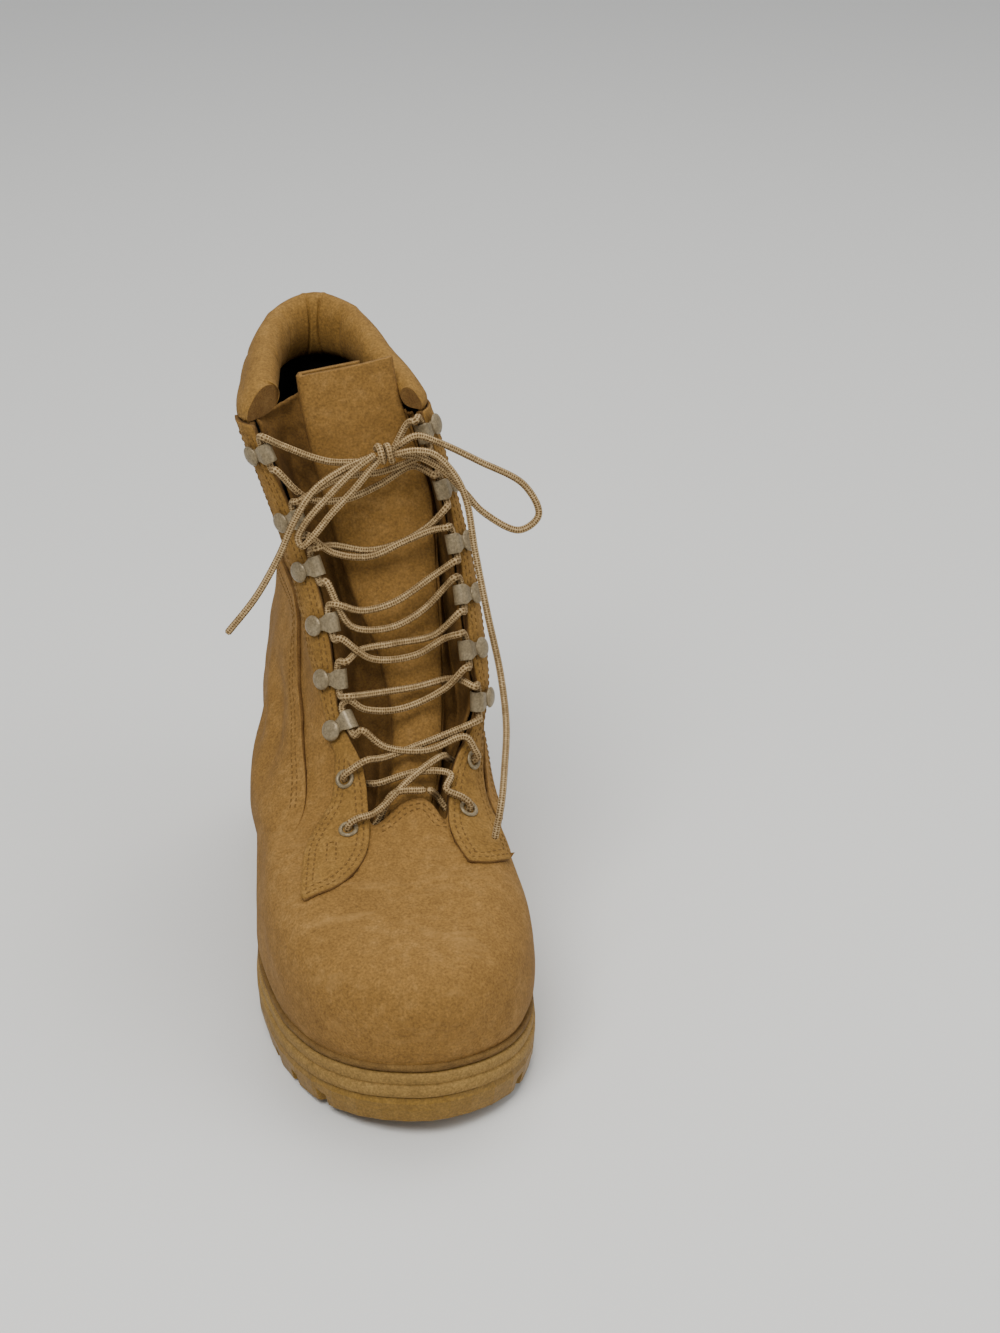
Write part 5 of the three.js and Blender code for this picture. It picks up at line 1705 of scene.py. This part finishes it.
def turned_out(obj: bpy.types.Object) -> bpy.types.Object:
    """Turns a closed mesh's faces outwards.

    Args:
        obj: The object.

    Returns:
        The same object.
    """
    bm = bmesh.new()
    bm.from_mesh(obj.data)
    bmesh.ops.recalc_face_normals(bm, faces=bm.faces)
    bm.to_mesh(obj.data)
    bm.free()
    return obj


# The boot's units


@dataclass
class UpperUnit:
    """The upper, its facings, quarters and backstay, with their stitching."""

    face: BootFace
    region: Region
    materials: Materials

    def build(self) -> None:
        """Builds the panels and their seams."""
        suede, shaft = self.materials.get(SUEDE), self.materials.get(SUEDE_SHAFT)
        edge, lining = self.materials.get(EDGE), self.materials.get(LINING_PAINTED_SHADE)
        stitches = Stitching("upper_stitches", self.materials.get(THREAD))
        # The upper's inner face takes the near-black inner cloth, painted shade for the inside of the boot
        upper = Panel("upper_skin", self.region.upper, UPPER_WALL, UPPER_WALL, (suede, lining, edge))
        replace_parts(upper.build(self.face), "upper")
        stitches.add_along(
            upper, UPPER_SEAMS,
            lambda p: self.over_welt(p) and p[1] + p[2] < VAMP_SEAM_TOP and -14 < p[0] < 30,
        )
        for side, way in ((-1, "lateral"), (1, "medial")):
            facing = Panel(
                f"facing_{way}_skin", lambda p, s=side: self.region.facing(s, p), PANEL_OUT, PANEL_THICKNESS,
                (shaft, edge, edge),
            )
            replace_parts(facing.build(self.face), f"facing_{way}")
            stitches.add_along(
                facing, FACING_SEAMS,
                lambda p, s=side: self.over_welt(p) and p[2] < FACING_SEAM_TOP and self.off_corner(s, p),
            )
            if side < 0:
                self.bar_tack(stitches)
            flush = self.flush_share if side < 0 else None
            quarter = Panel(
                f"quarter_{way}_skin", lambda p, s=side: self.region.quarter(s, p), PANEL_OUT, PANEL_THICKNESS,
                (suede, edge, edge), flush=flush,
            )
            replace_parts(quarter.build(self.face), f"quarter_{way}")
            stitches.add_along(
                quarter, QUARTER_SEAMS,
                lambda p, s=side: self.over_welt(p) and (s > 0 or self.flush_share(p) < 0.4),
            )
        backstay = Panel(
            "backstay_skin", self.region.backstay, PANEL_OUT, PANEL_THICKNESS, (shaft, edge, edge)
        )
        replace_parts(backstay.build(self.face), "backstay")
        stitches.add_along(backstay, BACKSTAY_SEAMS, lambda p: self.over_welt(p) and p[2] < BACKSTAY_SEAM_TOP)
        stitches.build()
        LOG.info("upper: panels and %d stitches", len(stitches.points) // 20)

    def over_welt(self, p: np.ndarray) -> bool:
        """Whether a point is high enough over the welt for a stitch.

        Args:
            p: The point.

        Returns:
            True if it is.
        """
        return p[2] > self.face.sole.welt_top(p[1]) + SEAM_FOOT

    def flush_share(self, p: np.ndarray) -> float:
        """How far the outer quarter's lower part sinks flush with the vamp beside it.

        Args:
            p: A point.

        Returns:
            0 for proud to 1 for flush.
        """
        line = self.region.quarters[-1]
        low = [line[0], *line[:-5:-1]]
        gap = 1e3
        for a, b in zip(low, low[1:]):
            start, run = np.array(a), np.array(b) - np.array(a)
            here = np.array([p[1], p[2]])
            share = min(max(float(np.dot(here - start, run) / np.dot(run, run)), 0.0), 1.0)
            gap = min(gap, float(np.linalg.norm(here - start - run * share)))
        return max(0.0, 1.0 - gap / FLUSH_REACH) ** 1.3

    def off_corner(self, side: int, p: np.ndarray) -> bool:
        """Whether a point is away from the corner where a tab meets its facing.

        Args:
            side: -1 for the outer side, 1 for the inner side.
            p: A point.

        Returns:
            True if it is.
        """
        across, climb = self.region.tabs[side][0]
        return abs((p[1] + p[2]) * DIAGONAL - climb) > 7 or abs(p[0] - across) > 12

    def bar_tack(self, stitches: Stitching) -> None:
        """Adds a stitched box beside the outer side's lower eyelets.

        Args:
            stitches: The stitching that it is added to.
        """
        steps = 8
        line, normals = [], []
        for (x0, c0), (x1, c1) in zip(BAR_TACK, [*BAR_TACK[1:], BAR_TACK[0]]):
            for k in range(steps):
                points, outs = self.face.level(mix(c0, c1, k / steps))
                xs = -points[: self.face.SIDE_COLUMNS, 0]
                place = float(np.interp(-mix(x0, x1, k / steps), xs, np.arange(len(xs))))
                near = min(int(place), len(xs) - 2)
                share = place - near
                line.append(points[near] * (1 - share) + points[near + 1] * share)
                normals.append(outs[near])
        stitches.add_row(np.array([*line, line[0]]), np.array([*normals, normals[0]]))


@dataclass
class CollarUnit:
    """The padded roll round the top edge."""

    face: BootFace
    materials: Materials
    stations: int = 150
    section_steps: int = 40

    def build(self) -> None:
        """Builds the roll with its puckers."""
        top, outs = self.face.off(UPPER_WALL)[-1], self.face.normals[-1]
        count = len(top)
        climbs = (top[:, 1] + top[:, 2]) * DIAGONAL
        first = next(k for k in range(1, count // 3) if top[k, 0] < throat_edge(-1, float(climbs[k])))
        inner = range(count - 1, count // 2, -1)
        last = next(k for k in inner if top[k, 0] > throat_edge(1, float(climbs[k])))
        rings, foot, foot_out = [], [], []
        for k in range(self.stations + 1):
            place = mix(first, last, k / self.stations)
            i, share = int(place), place - int(place)
            seat = top[i % count] * (1 - share) + top[(i + 1) % count] * share
            out = outs[i % count] * (1 - share) + outs[(i + 1) % count] * share
            out = np.array([out[0], out[1], 0.0])
            out /= np.linalg.norm(out)
            middle = count / 2
            way = (place - first) / (middle - first) if place < middle else (last - place) / (last - middle)
            end_high, end_thick = COLLAR_END_HEIGHT, INNER_END_THICKNESS
            if place < middle:
                end_high, end_thick = OUTER_END_HEIGHT, OUTER_END_THICKNESS
            high = mix(end_high, COLLAR_HEIGHT, COLLAR_RUN.read("way", "high", way))
            thick = mix(end_thick, COLLAR_THICKNESS, COLLAR_RUN.read("way", "thick", way))
            section = [catmull([(o, u, 0) for o, u in COLLAR_SECTION], True, s / self.section_steps)
                       for s in range(self.section_steps)]
            ring = []
            for o, u, _ in section:
                p = seat + out * (o * thick)
                p[2] = seat[2] + CLEARANCE + max(u, 0.0) * high
                pucker = 0.5 * math.sin(place * 1.9) * math.exp(-((u - 0.1) / 0.25) ** 2)
                for centre, depth in COLLAR_FOLDS:
                    pucker += depth * math.exp(-(((place / count - centre) / 0.006) ** 2)) * min(1.0, abs(o))
                seam = -0.9 * math.exp(-(((u - 0.55) * high / 1.3) ** 2)) if o > -0.45 and high > 16 else 0.0
                ring.append(p + out * (pucker * 0.5 + seam))
            rings.append(np.array(ring))
            foot.append(seat + out * (0.05 * thick) + np.array([0, 0, 0.5 * high]))
            foot_out.append(out)
        points = np.concatenate(rings)
        points += 0.35 * waves(points, (37.0, 23.0), 2.2)[:, None] * np.array([0.6, 0.6, 0.3])
        faces = loft_faces(self.section_steps, len(rings))
        leather, cut = self.materials.get(SUEDE_SHAFT), self.materials.get(EDGE)
        collar = write_mesh("collar_roll", points, faces, [leather, cut])
        turned_out(collar)
        for cap in list(collar.data.polygons)[-2:]:
            cap.material_index = 1
            cap.use_smooth = False
        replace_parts(collar, "collar")
        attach(collar, "root")
        LOG.info("collar: %d rings", len(rings))


@dataclass
class TongueUnit:
    """The tongue with its folded edge and the gusset beside it."""

    face: BootFace
    materials: Materials
    rows: int = 110

    def row(self, index: float) -> dict[str, float]:
        """The tongue's sizes at a place along it.

        Args:
            index: Row number of the table, between rows too.

        Returns:
            Sizes by name.
        """
        keys = list(range(len(TONGUE.rows)))
        return {name: smooth_read(keys, TONGUE.column(name), index) for name in TONGUE.columns}

    def build(self) -> None:
        """Builds the tongue and the two gusset folds."""
        last = len(TONGUE.rows) - 1
        base = self.face.sole.welt_top(0.0)
        table = [self.row(last * k / self.rows) for k in range(self.rows + 1)]
        crown = np.array([(r["along"] * SOLE_LENGTH, base + r["up"] * SHAFT_HEIGHT) for r in table])
        tangents = np.gradient(crown, axis=0)
        tangents /= np.linalg.norm(tangents, axis=1, keepdims=True)
        half = 1.2
        rings, edges = [], {-1: [], 1: []}
        for row, place, run in zip(table, crown, tangents):
            outer, inner = row["outer"] * SHAFT_WIDTH, row["inner"] * SHAFT_WIDTH

            def at(x: float, back: float) -> tuple[float, float, float]:
                """A point of this ring.

                Args:
                    x: Place across.
                    back: Distance behind the middle of the leather.

                Returns:
                    The point in millimetres.
                """
                share = 2 * (x - outer) / (inner - outer) - 1
                fall = back + TONGUE_BOW * row["bow"] * share * share
                lag = row["lag"] * SHAFT_HEIGHT * (1 - share) / 2
                return (x, place[0] + run[1] * fall - run[0] * lag, place[1] - run[0] * fall - run[1] * lag)

            fold_end = outer + row["fold"] * TONGUE_FOLD
            behind = half + 2.5 * min(1.0, row["fold"] * 2)
            shares = [s / 14 for s in range(15)]
            outside = [at(mix(inner, outer, 0.03 + 0.97 * s), -half) for s in shares]
            inside = [at(mix(inner, outer, 0.03 + 0.93 * s), half) for s in shares]
            deep = behind + 2 * half
            fold_out = [at(outer - 1.2, behind / 2), at(outer, deep), at(fold_end, deep)]
            fold_in = [at(outer + 1.5, half + 0.1), at(outer + 1.5, behind), at(fold_end, behind)]
            tip = at(fold_end + 1, behind + half)
            rings.append([at(inner, 0), *outside, *fold_out, tip, *fold_in[::-1], *inside[::-1]])
            edges[-1].append(at(outer, behind))
            edges[1].append(at(inner, 0))
        count = len(rings[0])
        points = np.array(rings).reshape(-1, 3)
        points[:, 1] += 0.45 * waves(points, (34.0, 21.0, 13.0), 4.1)
        faces = loft_faces(count, len(rings))
        tongue = write_mesh("tongue_leather", points, faces, [self.materials.get(SUEDE)])
        turned_out(tongue)
        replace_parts(tongue, "tongue")
        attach(tongue, "root")
        for side in (-1, 1):
            self.gusset(side, np.array(edges[side]))
        LOG.info("tongue: %d rings", len(rings))

    def gusset(self, side: int, edge: np.ndarray) -> None:
        """Builds the soft fold between the tongue's edge and the facing.

        Args:
            side: -1 for the outer side, 1 for the inner side.
            edge: Points along the tongue's edge.
        """
        start, end, steps = int(0.1 * len(edge)), int((0.93 if side < 0 else 0.86) * len(edge)), 14
        points = []
        run = edge[start:end]
        for k, p in enumerate(run):
            climb = float((p[1] + p[2]) * DIAGONAL)
            rim, normal = self.face.rim(side, climb, 3.0)
            rim = rim - normal * (PANEL_OUT + 1.2)
            for s in range(steps + 1):
                share = s / steps
                deep = min(1.0, (k + 4) / 30) * min(1.0, (len(run) - k + 8) / 24)
                sag = deep * (12 * math.sin(math.pi * share) + 2.4 * math.sin(3 * math.pi * share + k * 0.21))
                q = p * (1 - share) + rim * share
                points.append(q + np.array([0.0, 0.75, -0.45]) * sag)
        faces = []
        for k in range(len(run) - 1):
            for s in range(steps):
                a = k * (steps + 1) + s
                faces.append([a, a + 1, a + steps + 2, a + steps + 1])
        points = np.array(points)
        points[:, 1] += 1.3 * waves(points, (19.0, 12.0, 8.0), 5.3 + side)
        name = "gusset_lateral" if side < 0 else "gusset_medial"
        # The gusset's darkened colours are painted shade for the gap beside the tongue
        obj = write_mesh(name, points, faces, [self.materials.get(GUSSET_PAINTED_SHADE)])
        add_modifier(obj, "SOLIDIFY", thickness=1.0 * MM, offset=0.0)
        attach(obj, "root")


@dataclass
class SoleUnit:
    """Midsole, welt and outsole."""

    lines: SoleLines
    materials: Materials
    steps: int = 260

    def build(self, frame: dict) -> None:
        """Builds the sole's pieces.
        """
        side = (
            (0.0, 1.0), (0.02, 0.35), (0.07, 0.0), (0.25, 0.0), (0.42, 0.0), (0.46, 0.25), (0.49, 0.7),
            (0.54, 0.75), (0.58, 0.45), (0.61, 0.35), (0.8, 0.3), (0.92, 0.35), (0.97, 0.7), (1.0, 1.4),
        )
        side = [(MIDSOLE_STEP * inward, up) for up, inward in side]
        rings = self.layer(side, self.lines.outsole_top, MIDSOLE_THICKNESS)
        self.stack("midsole_body", rings, MIDSOLE, "midsole", "midsole_foam")
        profile = (
            (8.1, 0.0), (1.8, 0.02), (1.0, 0.3), (0.8, 0.6), (1.1, 0.85), (1.9, 1.0), (3.4, 0.94),
            (5.2, 0.98), (8.1, 1.0),
        )
        rings = self.layer(profile, self.welt_foot, WELT_THICKNESS)
        points = np.concatenate(rings)
        faces = loft_faces(self.steps, len(rings), True)
        welt = write_mesh("welt_strip", points, faces, [self.materials.get(WELT)])
        turned_out(welt)
        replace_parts(welt, "welt")
        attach(welt, "root")
        stitches = Stitching("welt_stitches", self.materials.get(THREAD), pitch=4.2, length=3.2, radius=0.55)
        line = self.lines.ring(3.0, lambda y: self.welt_foot(y) + WELT_THICKNESS - 0.1, self.steps)
        line = np.concatenate((line, line[:1]))
        stitches.add_row(line, np.tile(np.array([0.0, 0.0, 1.0]), (len(line), 1)))
        stitches.build()
        outsole, insole = frame["nodes"]["outsole"], frame["nodes"]["insole"]
        # The insole takes the near-black inner cloth, painted shade for the inside of the boot
        for node, finish in ((outsole, OUTSOLE), (insole, LINING_PAINTED_SHADE)):
            node.data.materials.clear()
            node.data.materials.append(self.materials.get(finish))
        LOG.info("sole: midsole, welt and %d welt stitches", len(stitches.points) // 20)

    def layer(
        self, profile: Sequence[tuple[float, float]], foot: Callable[[float], float], thickness: float
    ) -> list[np.ndarray]:
        """Rings of one layer of the sole.

        Args:
            profile: Pairs of inset in millimetres and share of the layer's height.
            foot: Height of the layer's foot for a place along the sole.
            thickness: The layer's thickness.

        Returns:
            The rings in the profile's order.
        """
        high = thickness - CLEARANCE
        return [
            self.lines.ring(inset, lambda y, u=up: foot(y) + CLEARANCE + u * high, self.steps)
            for inset, up in profile
        ]

    def welt_foot(self, y: float) -> float:
        """Height of the welt's foot.

        Args:
            y: Place along the sole.

        Returns:
            Height in millimetres.
        """
        return self.lines.outsole_top(y) + MIDSOLE_THICKNESS

    def stack(self, name: str, rings: list[np.ndarray], finish: Finish, node: str, slot: str) -> None:
        """Builds a closed stack of rings.

        Args:
            name: The piece's name.
            rings: The rings from the foot upwards.
            finish: Its finish.
            node: The frame's node that it stands for.
            slot: Not used.
        """
        faces = loft_faces(self.steps, len(rings))[:-2]
        points = np.concatenate(rings)
        for start in (0, (len(rings) - 1) * self.steps):
            for i in range(self.steps // 2):
                across, next_across = (self.steps - i) % self.steps, self.steps - i - 1
                corners = [start + place for place in (i, i + 1, next_across, across)]
                faces.append(list(dict.fromkeys(corners)))
        faces = [corners for corners in faces if len(corners) > 2]
        obj = turned_out(write_mesh(name, points, faces, [self.materials.get(finish)]))
        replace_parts(obj, node)
        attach(obj, "root")


@dataclass
class HardwareUnit:
    """Speed hooks and eyelets."""

    seats: list[Seat]
    materials: Materials

    def build(self) -> None:
        """Builds each fastener on its seat."""
        eyelets = {-1: 0, 1: 0}
        hooks = {-1: 0, 1: 0}
        for seat in self.seats:
            way = "lateral" if seat.side < 0 else "medial"
            if seat.hook:
                hooks[seat.side] += 1
                node, maker = f"hook_{way}_{hooks[seat.side]}", self.hook
            else:
                eyelets[seat.side] += 1
                node, maker = f"eyelet_{way}_{eyelets[seat.side]}", self.eyelet
            obj = link_bmesh(f"{node}_metal", maker(seat), [self.materials.get(HARDWARE)])
            add_modifier(obj, "BEVEL", width=0.22 * MM, segments=2, limit_method="ANGLE", angle_limit=0.6)
            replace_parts(obj, node)
            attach(obj, "root")
        LOG.info("hardware: %d fasteners", len(self.seats))

    @staticmethod
    def place(bm: bmesh.types.BMesh, seat: Seat) -> bmesh.types.BMesh:
        """Moves a mesh from the seat's own frame into the row frame, in metres.

        Args:
            bm: The mesh, with x towards the throat, y up the climb and z outwards, in millimetres.
            seat: The seat.

        Returns:
            The same mesh.
        """
        for vert in bm.verts:
            vert.co = Vector(seat.at(vert.co.x, vert.co.z, vert.co.y) * MM)
        bmesh.ops.recalc_face_normals(bm, faces=bm.faces)
        for face in bm.faces:
            face.smooth = True
        return bm

    def hook(self, seat: Seat) -> bmesh.types.BMesh:
        """A speed hook.

        Args:
            seat: Its seat.

        Returns:
            Its mesh.
        """
        bm = bmesh.new()
        top = HOOK_STRIP[0][1] * LACE_DIAMETER + 1.0
        profile = [
            (0.0, top + 1.3), (1.8, top + 1.2), (3.4, top + 0.9), (4.4, top + 0.3), (4.6, top - 0.1),
            (4.3, top - 0.5), (1.6, top - 0.6), (1.6, 0.2), (0.0, 0.2),
        ]
        spin_profile(bm, profile)
        fine = [catmull([(r * HOOK_REACH, z * LACE_DIAMETER, 0) for r, z in HOOK_STRIP], False, k / 24)[:2]
                for k in range(25)]
        sides = []
        for sign in (0.5, -0.5):
            row = []
            for k, p in enumerate(fine):
                along = fine[min(k + 1, 24)] - fine[max(k - 1, 0)]
                along /= np.linalg.norm(along)
                row.append((p[0] - along[1] * sign, p[1] + along[0] * sign))
            sides.append(row)
        outline = sides[0] + sides[1][::-1]
        narrow = [0.62 + 0.38 * min(1.0, max(0.0, (x / HOOK_REACH - 0.5) / 0.35)) for x, _ in outline]
        layers = []
        for across in (-0.5, -0.44, 0.44, 0.5):
            layers.append(
                [bm.verts.new((x, across * HOOK_STRIP_WIDTH * w, z)) for (x, z), w in zip(outline, narrow)]
            )
        for low, high in zip(layers, layers[1:]):
            for k in range(len(outline)):
                m = (k + 1) % len(outline)
                bm.faces.new([low[k], low[m], high[m], high[k]])
        for layer in (layers[0], layers[-1]):
            half = len(outline) // 2
            for k in range(half - 1):
                bm.faces.new([layer[k], layer[k + 1], layer[-k - 2], layer[-k - 1]])
        return self.place(bm, seat)

    def eyelet(self, seat: Seat) -> bmesh.types.BMesh:
        """An eyelet.

        Args:
            seat: Its seat.

        Returns:
            Its mesh.
        """
        bm = bmesh.new()
        bore, flange = EYELET_BORE / 2, EYELET_OUTER / 2
        profile = [
            (bore, -5.0), (bore + 0.6, -5.0), (bore + 0.6, 0.3), (flange, 0.3), (flange, 0.6),
            (flange - 0.5, 1.1), (bore + 0.7, 1.2), (bore + 0.15, 0.9), (bore, 0.3), (bore, -5.0),
        ]
        spin_profile(bm, profile)
        return self.place(bm, seat)


def spin_profile(bm: bmesh.types.BMesh, profile: Sequence[tuple[float, float]]) -> None:
    """Turns a profile round the z axis.

    Args:
        bm: The mesh that it is added to.
        profile: Pairs of radius and height.
    """
    verts = [bm.verts.new((r, 0, z)) for r, z in profile]
    edges = [bm.edges.new(pair) for pair in zip(verts, verts[1:])]
    bmesh.ops.spin(
        bm, geom=[*verts, *edges], cent=(0, 0, 0), axis=(0, 0, 1), angle=2 * math.pi, steps=SPIN_STEPS,
        use_merge=True,
    )
    bmesh.ops.remove_doubles(bm, verts=bm.verts, dist=0.001)


@dataclass
class LaceUnit:
    """The lace: its crossings, the knot, the bow's loops and the ends."""

    face: BootFace
    seats: list[Seat]
    materials: Materials
    sides: int = 14

    def tube(self, name: str, route: np.ndarray, radius: float) -> bpy.types.Object:
        """A round cord along a route, with its run as a map.

        Args:
            name: The piece's name.
            route: Points along the middle.
            radius: Its radius in millimetres.

        Returns:
            The object.
        """
        along = np.gradient(route, axis=0)
        along /= np.maximum(np.linalg.norm(along, axis=1, keepdims=True), 1e-9)
        across = np.array([0.0, 0.0, 1.0])
        if abs(along[0][2]) > 0.9:
            across = np.array([0.0, 1.0, 0.0])
        runs = np.concatenate(([0.0], np.cumsum(np.linalg.norm(np.diff(route, axis=0), axis=1))))
        points, faces, maps = [], [], []
        for k, (centre, way) in enumerate(zip(route, along)):
            across = across - way * np.dot(across, way)
            across /= np.linalg.norm(across)
            third = np.cross(way, across)
            soft = 0.55 if k in (0, len(route) - 1) else 1.0
            for s in range(self.sides):
                turn = 2 * math.pi * s / self.sides
                points.append(centre + (across * math.cos(turn) + third * math.sin(turn)) * radius * soft)
        for k in range(len(route) - 1):
            for s in range(self.sides):
                m = (s + 1) % self.sides
                a, b = k * self.sides + s, k * self.sides + m
                faces.append([a, b, b + self.sides, a + self.sides])
                u0, u1, v0, v1 = s / self.sides, (s + 1) / self.sides, float(runs[k]), float(runs[k + 1])
                maps.append([(u0, v0), (u1, v0), (u1, v1), (u0, v1)])
        for start in (0, (len(route) - 1) * self.sides):
            faces.append([start + s for s in range(self.sides)][:: -1 if start == 0 else 1])
            maps.append([(0.5, 0.0)] * self.sides)
        obj = write_mesh(name, points, faces, [self.materials.get(LACE)])
        layer = obj.data.uv_layers.new(name="run")
        for polygon, places in zip(obj.data.polygons, maps):
            for loop, place in zip(polygon.loop_indices, places):
                layer.data[loop].uv = place
        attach(obj, "root")
        return obj

    def build_cords(self) -> None:
        turns, wind, steps = 1.75, LACE_DIAMETER * 1.05, 14
        knot_points = []
        for i in range(steps + 1):
            share = i / steps
            angle = 2 * math.pi * turns * share
            x = KNOT.x + (share - 0.5) * turns * LACE_DIAMETER * 1.25
            knot_points.append((x, KNOT.y + wind * math.cos(angle), KNOT.z + wind * math.sin(angle)))
        routes = {"lace_knot": tuple(knot_points), **LOOSE_LACE}
        for name, corners in routes.items():
            count = len(corners)
            smooth = np.array([catmull(corners, False, t) for t in np.linspace(0, 1, count * 12)])
            route = resample(smooth, LACE_STEP)
            obj = self.tube(f"{name}_cord", route, LACE_DIAMETER / 2)
            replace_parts(obj, name)

    def build_crossings(self) -> None:
        """Builds the lace between the fasteners."""
        line = []
        for k, (hook, _, _) in enumerate(LACING_ROWS.rows):
            outer, inner = (
                self.seats[2 * k + s].at(LACE_SEAT, -0.7 if hook else LACE_DIAMETER / 2, 0) for s in (0, 1)
            )
            middle = (outer + inner) / 2
            line.append(((middle[1] + middle[2]) * DIAGONAL, middle[1]))
        climbs, depths = [c for c, _ in line], [y for _, y in line]

        def place(across: float, climb: float, fore: float) -> np.ndarray:
            """A point of a free stretch between the fasteners.

            Args:
                across: Place across, as a share of the shaft's width.
                climb: Distance up the instep, as a share of the shaft's height.
                fore: Distance in front of the middle of the lacing.

            Returns:
                The point in millimetres.
            """
            real = climb * SHAFT_HEIGHT
            rise = real - smooth_read(climbs, depths, real) / DIAGONAL + fore
            return np.array([across * SHAFT_WIDTH, (real - rise) * DIAGONAL, (real + rise) * DIAGONAL])

        for name, first, runs, fore in (("outer", -1, OUTER_LACE, 0.9), ("inner", 1, INNER_LACE, -0.9)):
            points: list[np.ndarray] = []
            for k, (hook, _, _) in enumerate(LACING_ROWS.rows):
                side = first if k % 2 == 0 else -first
                seat = self.seats[2 * k + (0 if side < 0 else 1)]
                points += [place(a, c, -2.0 if k == 0 else fore) for a, c in runs[k]]
                start = 7.0 if k == 0 else -4.0
                points += self.through_hook(seat) if hook else self.through_eyelet(seat, start)
            points += [place(a, c, fore + 2.2 * i) for i, (a, c) in enumerate(runs[-1])]
            smooth = np.array([catmull(points, False, t) for t in np.linspace(0, 1, len(points) * 12)])
            obj = self.tube(f"lace_{name}_run", resample(smooth, LACE_STEP), LACE_DIAMETER / 2)
            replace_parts(obj, "lace_crossings")
        LOG.info("lace: crossings through %d fasteners", len(self.seats))

    @staticmethod
    def through_hook(seat: Seat) -> list[np.ndarray]:
        """Route through a hook from below to above.

        Args:
            seat: The hook's seat.

        Returns:
            Its points.
        """
        half, reach = HOOK_STRIP_WIDTH / 2, LACE_SEAT
        past = HOOK_REACH + LACE_DIAMETER
        return [
            seat.at(past, 1, -half - LACE_DIAMETER), seat.at(reach + 1.3, 0, -half - LACE_DIAMETER),
            seat.at(reach, -0.7, -half + 1), seat.at(reach, -0.7, half - 1),
            seat.at(reach + 1.3, -0.7, half + LACE_DIAMETER), seat.at(past, 0, half + LACE_DIAMETER),
        ]

    @staticmethod
    def through_eyelet(seat: Seat, climbing: float) -> list[np.ndarray]:
        """Route out of an eyelet and over its flange.

        Args:
            seat: The eyelet's seat.
            climbing: How far below or above it the lace starts.

        Returns:
            Its points.
        """
        under, over = PANEL_OUT + 0.3 + 1.5, 0.3 + 0.9 + 0.3 + 1.5
        return [
            seat.at(EYELET_SETBACK + 3, -under + 0.6, climbing),
            seat.at(EYELET_SETBACK - 1.5, -under - 1, climbing * 0.6),
            seat.at(2.2, -under - 1.8, climbing * 0.15), seat.at(0, -under + 0.6, 0), seat.at(0, 1.2, 0),
            seat.at(1.4, over + 0.5, 0.4), seat.at(5, over + 1, 1.6), seat.at(EYELET_SETBACK + 3, over, 4),
        ]


@dataclass(frozen=True)
class Studio:
    """Camera, light and floor."""

    focal_px: float = 2767.0
    pitch: float = 27.2
    azimuth: float = -8.0
    eye: tuple[float, float, float] = (-93.0, -1052.4, 680.1)
    long_side: int = 1333

    def camera(self) -> None:
        """Makes the camera at the photo's place and angle."""
        data = bpy.data.cameras.new("camera")
        data.sensor_width = 36.0
        data.lens = self.focal_px * data.sensor_width / self.long_side
        data.clip_start, data.clip_end = 0.05, 50.0
        camera = bpy.data.objects.new("camera", data)
        a, e = math.radians(self.azimuth), math.radians(self.pitch)
        back = Vector((math.sin(a) * math.cos(e), -math.cos(a) * math.cos(e), math.sin(e)))
        right = Vector((math.cos(a), math.sin(a), 0.0))
        turn = Matrix((right, back.cross(right), back)).transposed().to_4x4()
        camera.matrix_world = Matrix.Translation(Vector(self.eye) * MM) @ turn
        bpy.context.scene.collection.objects.link(camera)
        bpy.context.scene.camera = camera

    def lights(self) -> None:
        """Makes the soft lights and the pale surroundings."""
        for name, place, size, power in (
            ("key", (-0.5, -0.9, 1.6), 0.9, 30.0),
            ("fill", (1.3, -0.7, 0.9), 1.4, 9.0),
            ("top", (0.3, 0.6, 1.7), 1.2, 16.0),
        ):
            data = bpy.data.lights.new(name, "AREA")
            data.energy, data.size = power, size
            light = bpy.data.objects.new(name, data)
            light.location = place
            light.rotation_mode = "QUATERNION"
            light.rotation_quaternion = (Vector((0, 0, 0.12)) - Vector(place)).to_track_quat("-Z", "Y")
            bpy.context.scene.collection.objects.link(light)
        world = bpy.data.worlds.new("surroundings")
        world.use_nodes = True
        world.node_tree.nodes["Background"].inputs["Color"].default_value = (0.9, 0.93, 1.0, 1)
        world.node_tree.nodes["Background"].inputs["Strength"].default_value = 0.48
        bpy.context.scene.world = world

    def floor(self, materials: Materials) -> None:
        """Makes the pale floor.

        Args:
            materials: The materials.
        """
        bm = bmesh.new()
        bmesh.ops.create_grid(bm, x_segments=1, y_segments=1, size=4.0)
        floor = link_bmesh("floor", bm, [materials.get(FLOOR)])


def main() -> None:
    """Builds the boot's looks in order."""
    logging.basicConfig(level=logging.INFO, format="%(name)s %(message)s")
    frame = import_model()
    studio = Studio()
    studio.camera()
    materials = Materials()
    sole = SoleLines()
    face = BootFace(sole)
    region = Region(sole)
    seats = [
        face.seat(side, bool(hook), (outer if side < 0 else inner) * SHAFT_HEIGHT)
        for hook, outer, inner in LACING_ROWS.rows
        for side in (-1, 1)
    ]
    lace = LaceUnit(face, seats, materials)
    lace.build_cords()
    lace.build_crossings()
    HardwareUnit(seats, materials).build()
    SoleUnit(sole, materials).build(frame)
    UpperUnit(face, region, materials).build()
    CollarUnit(face, materials).build()
    TongueUnit(face, materials).build()
    studio.lights()
    studio.floor(materials)


if __name__ == "__main__":
    main()
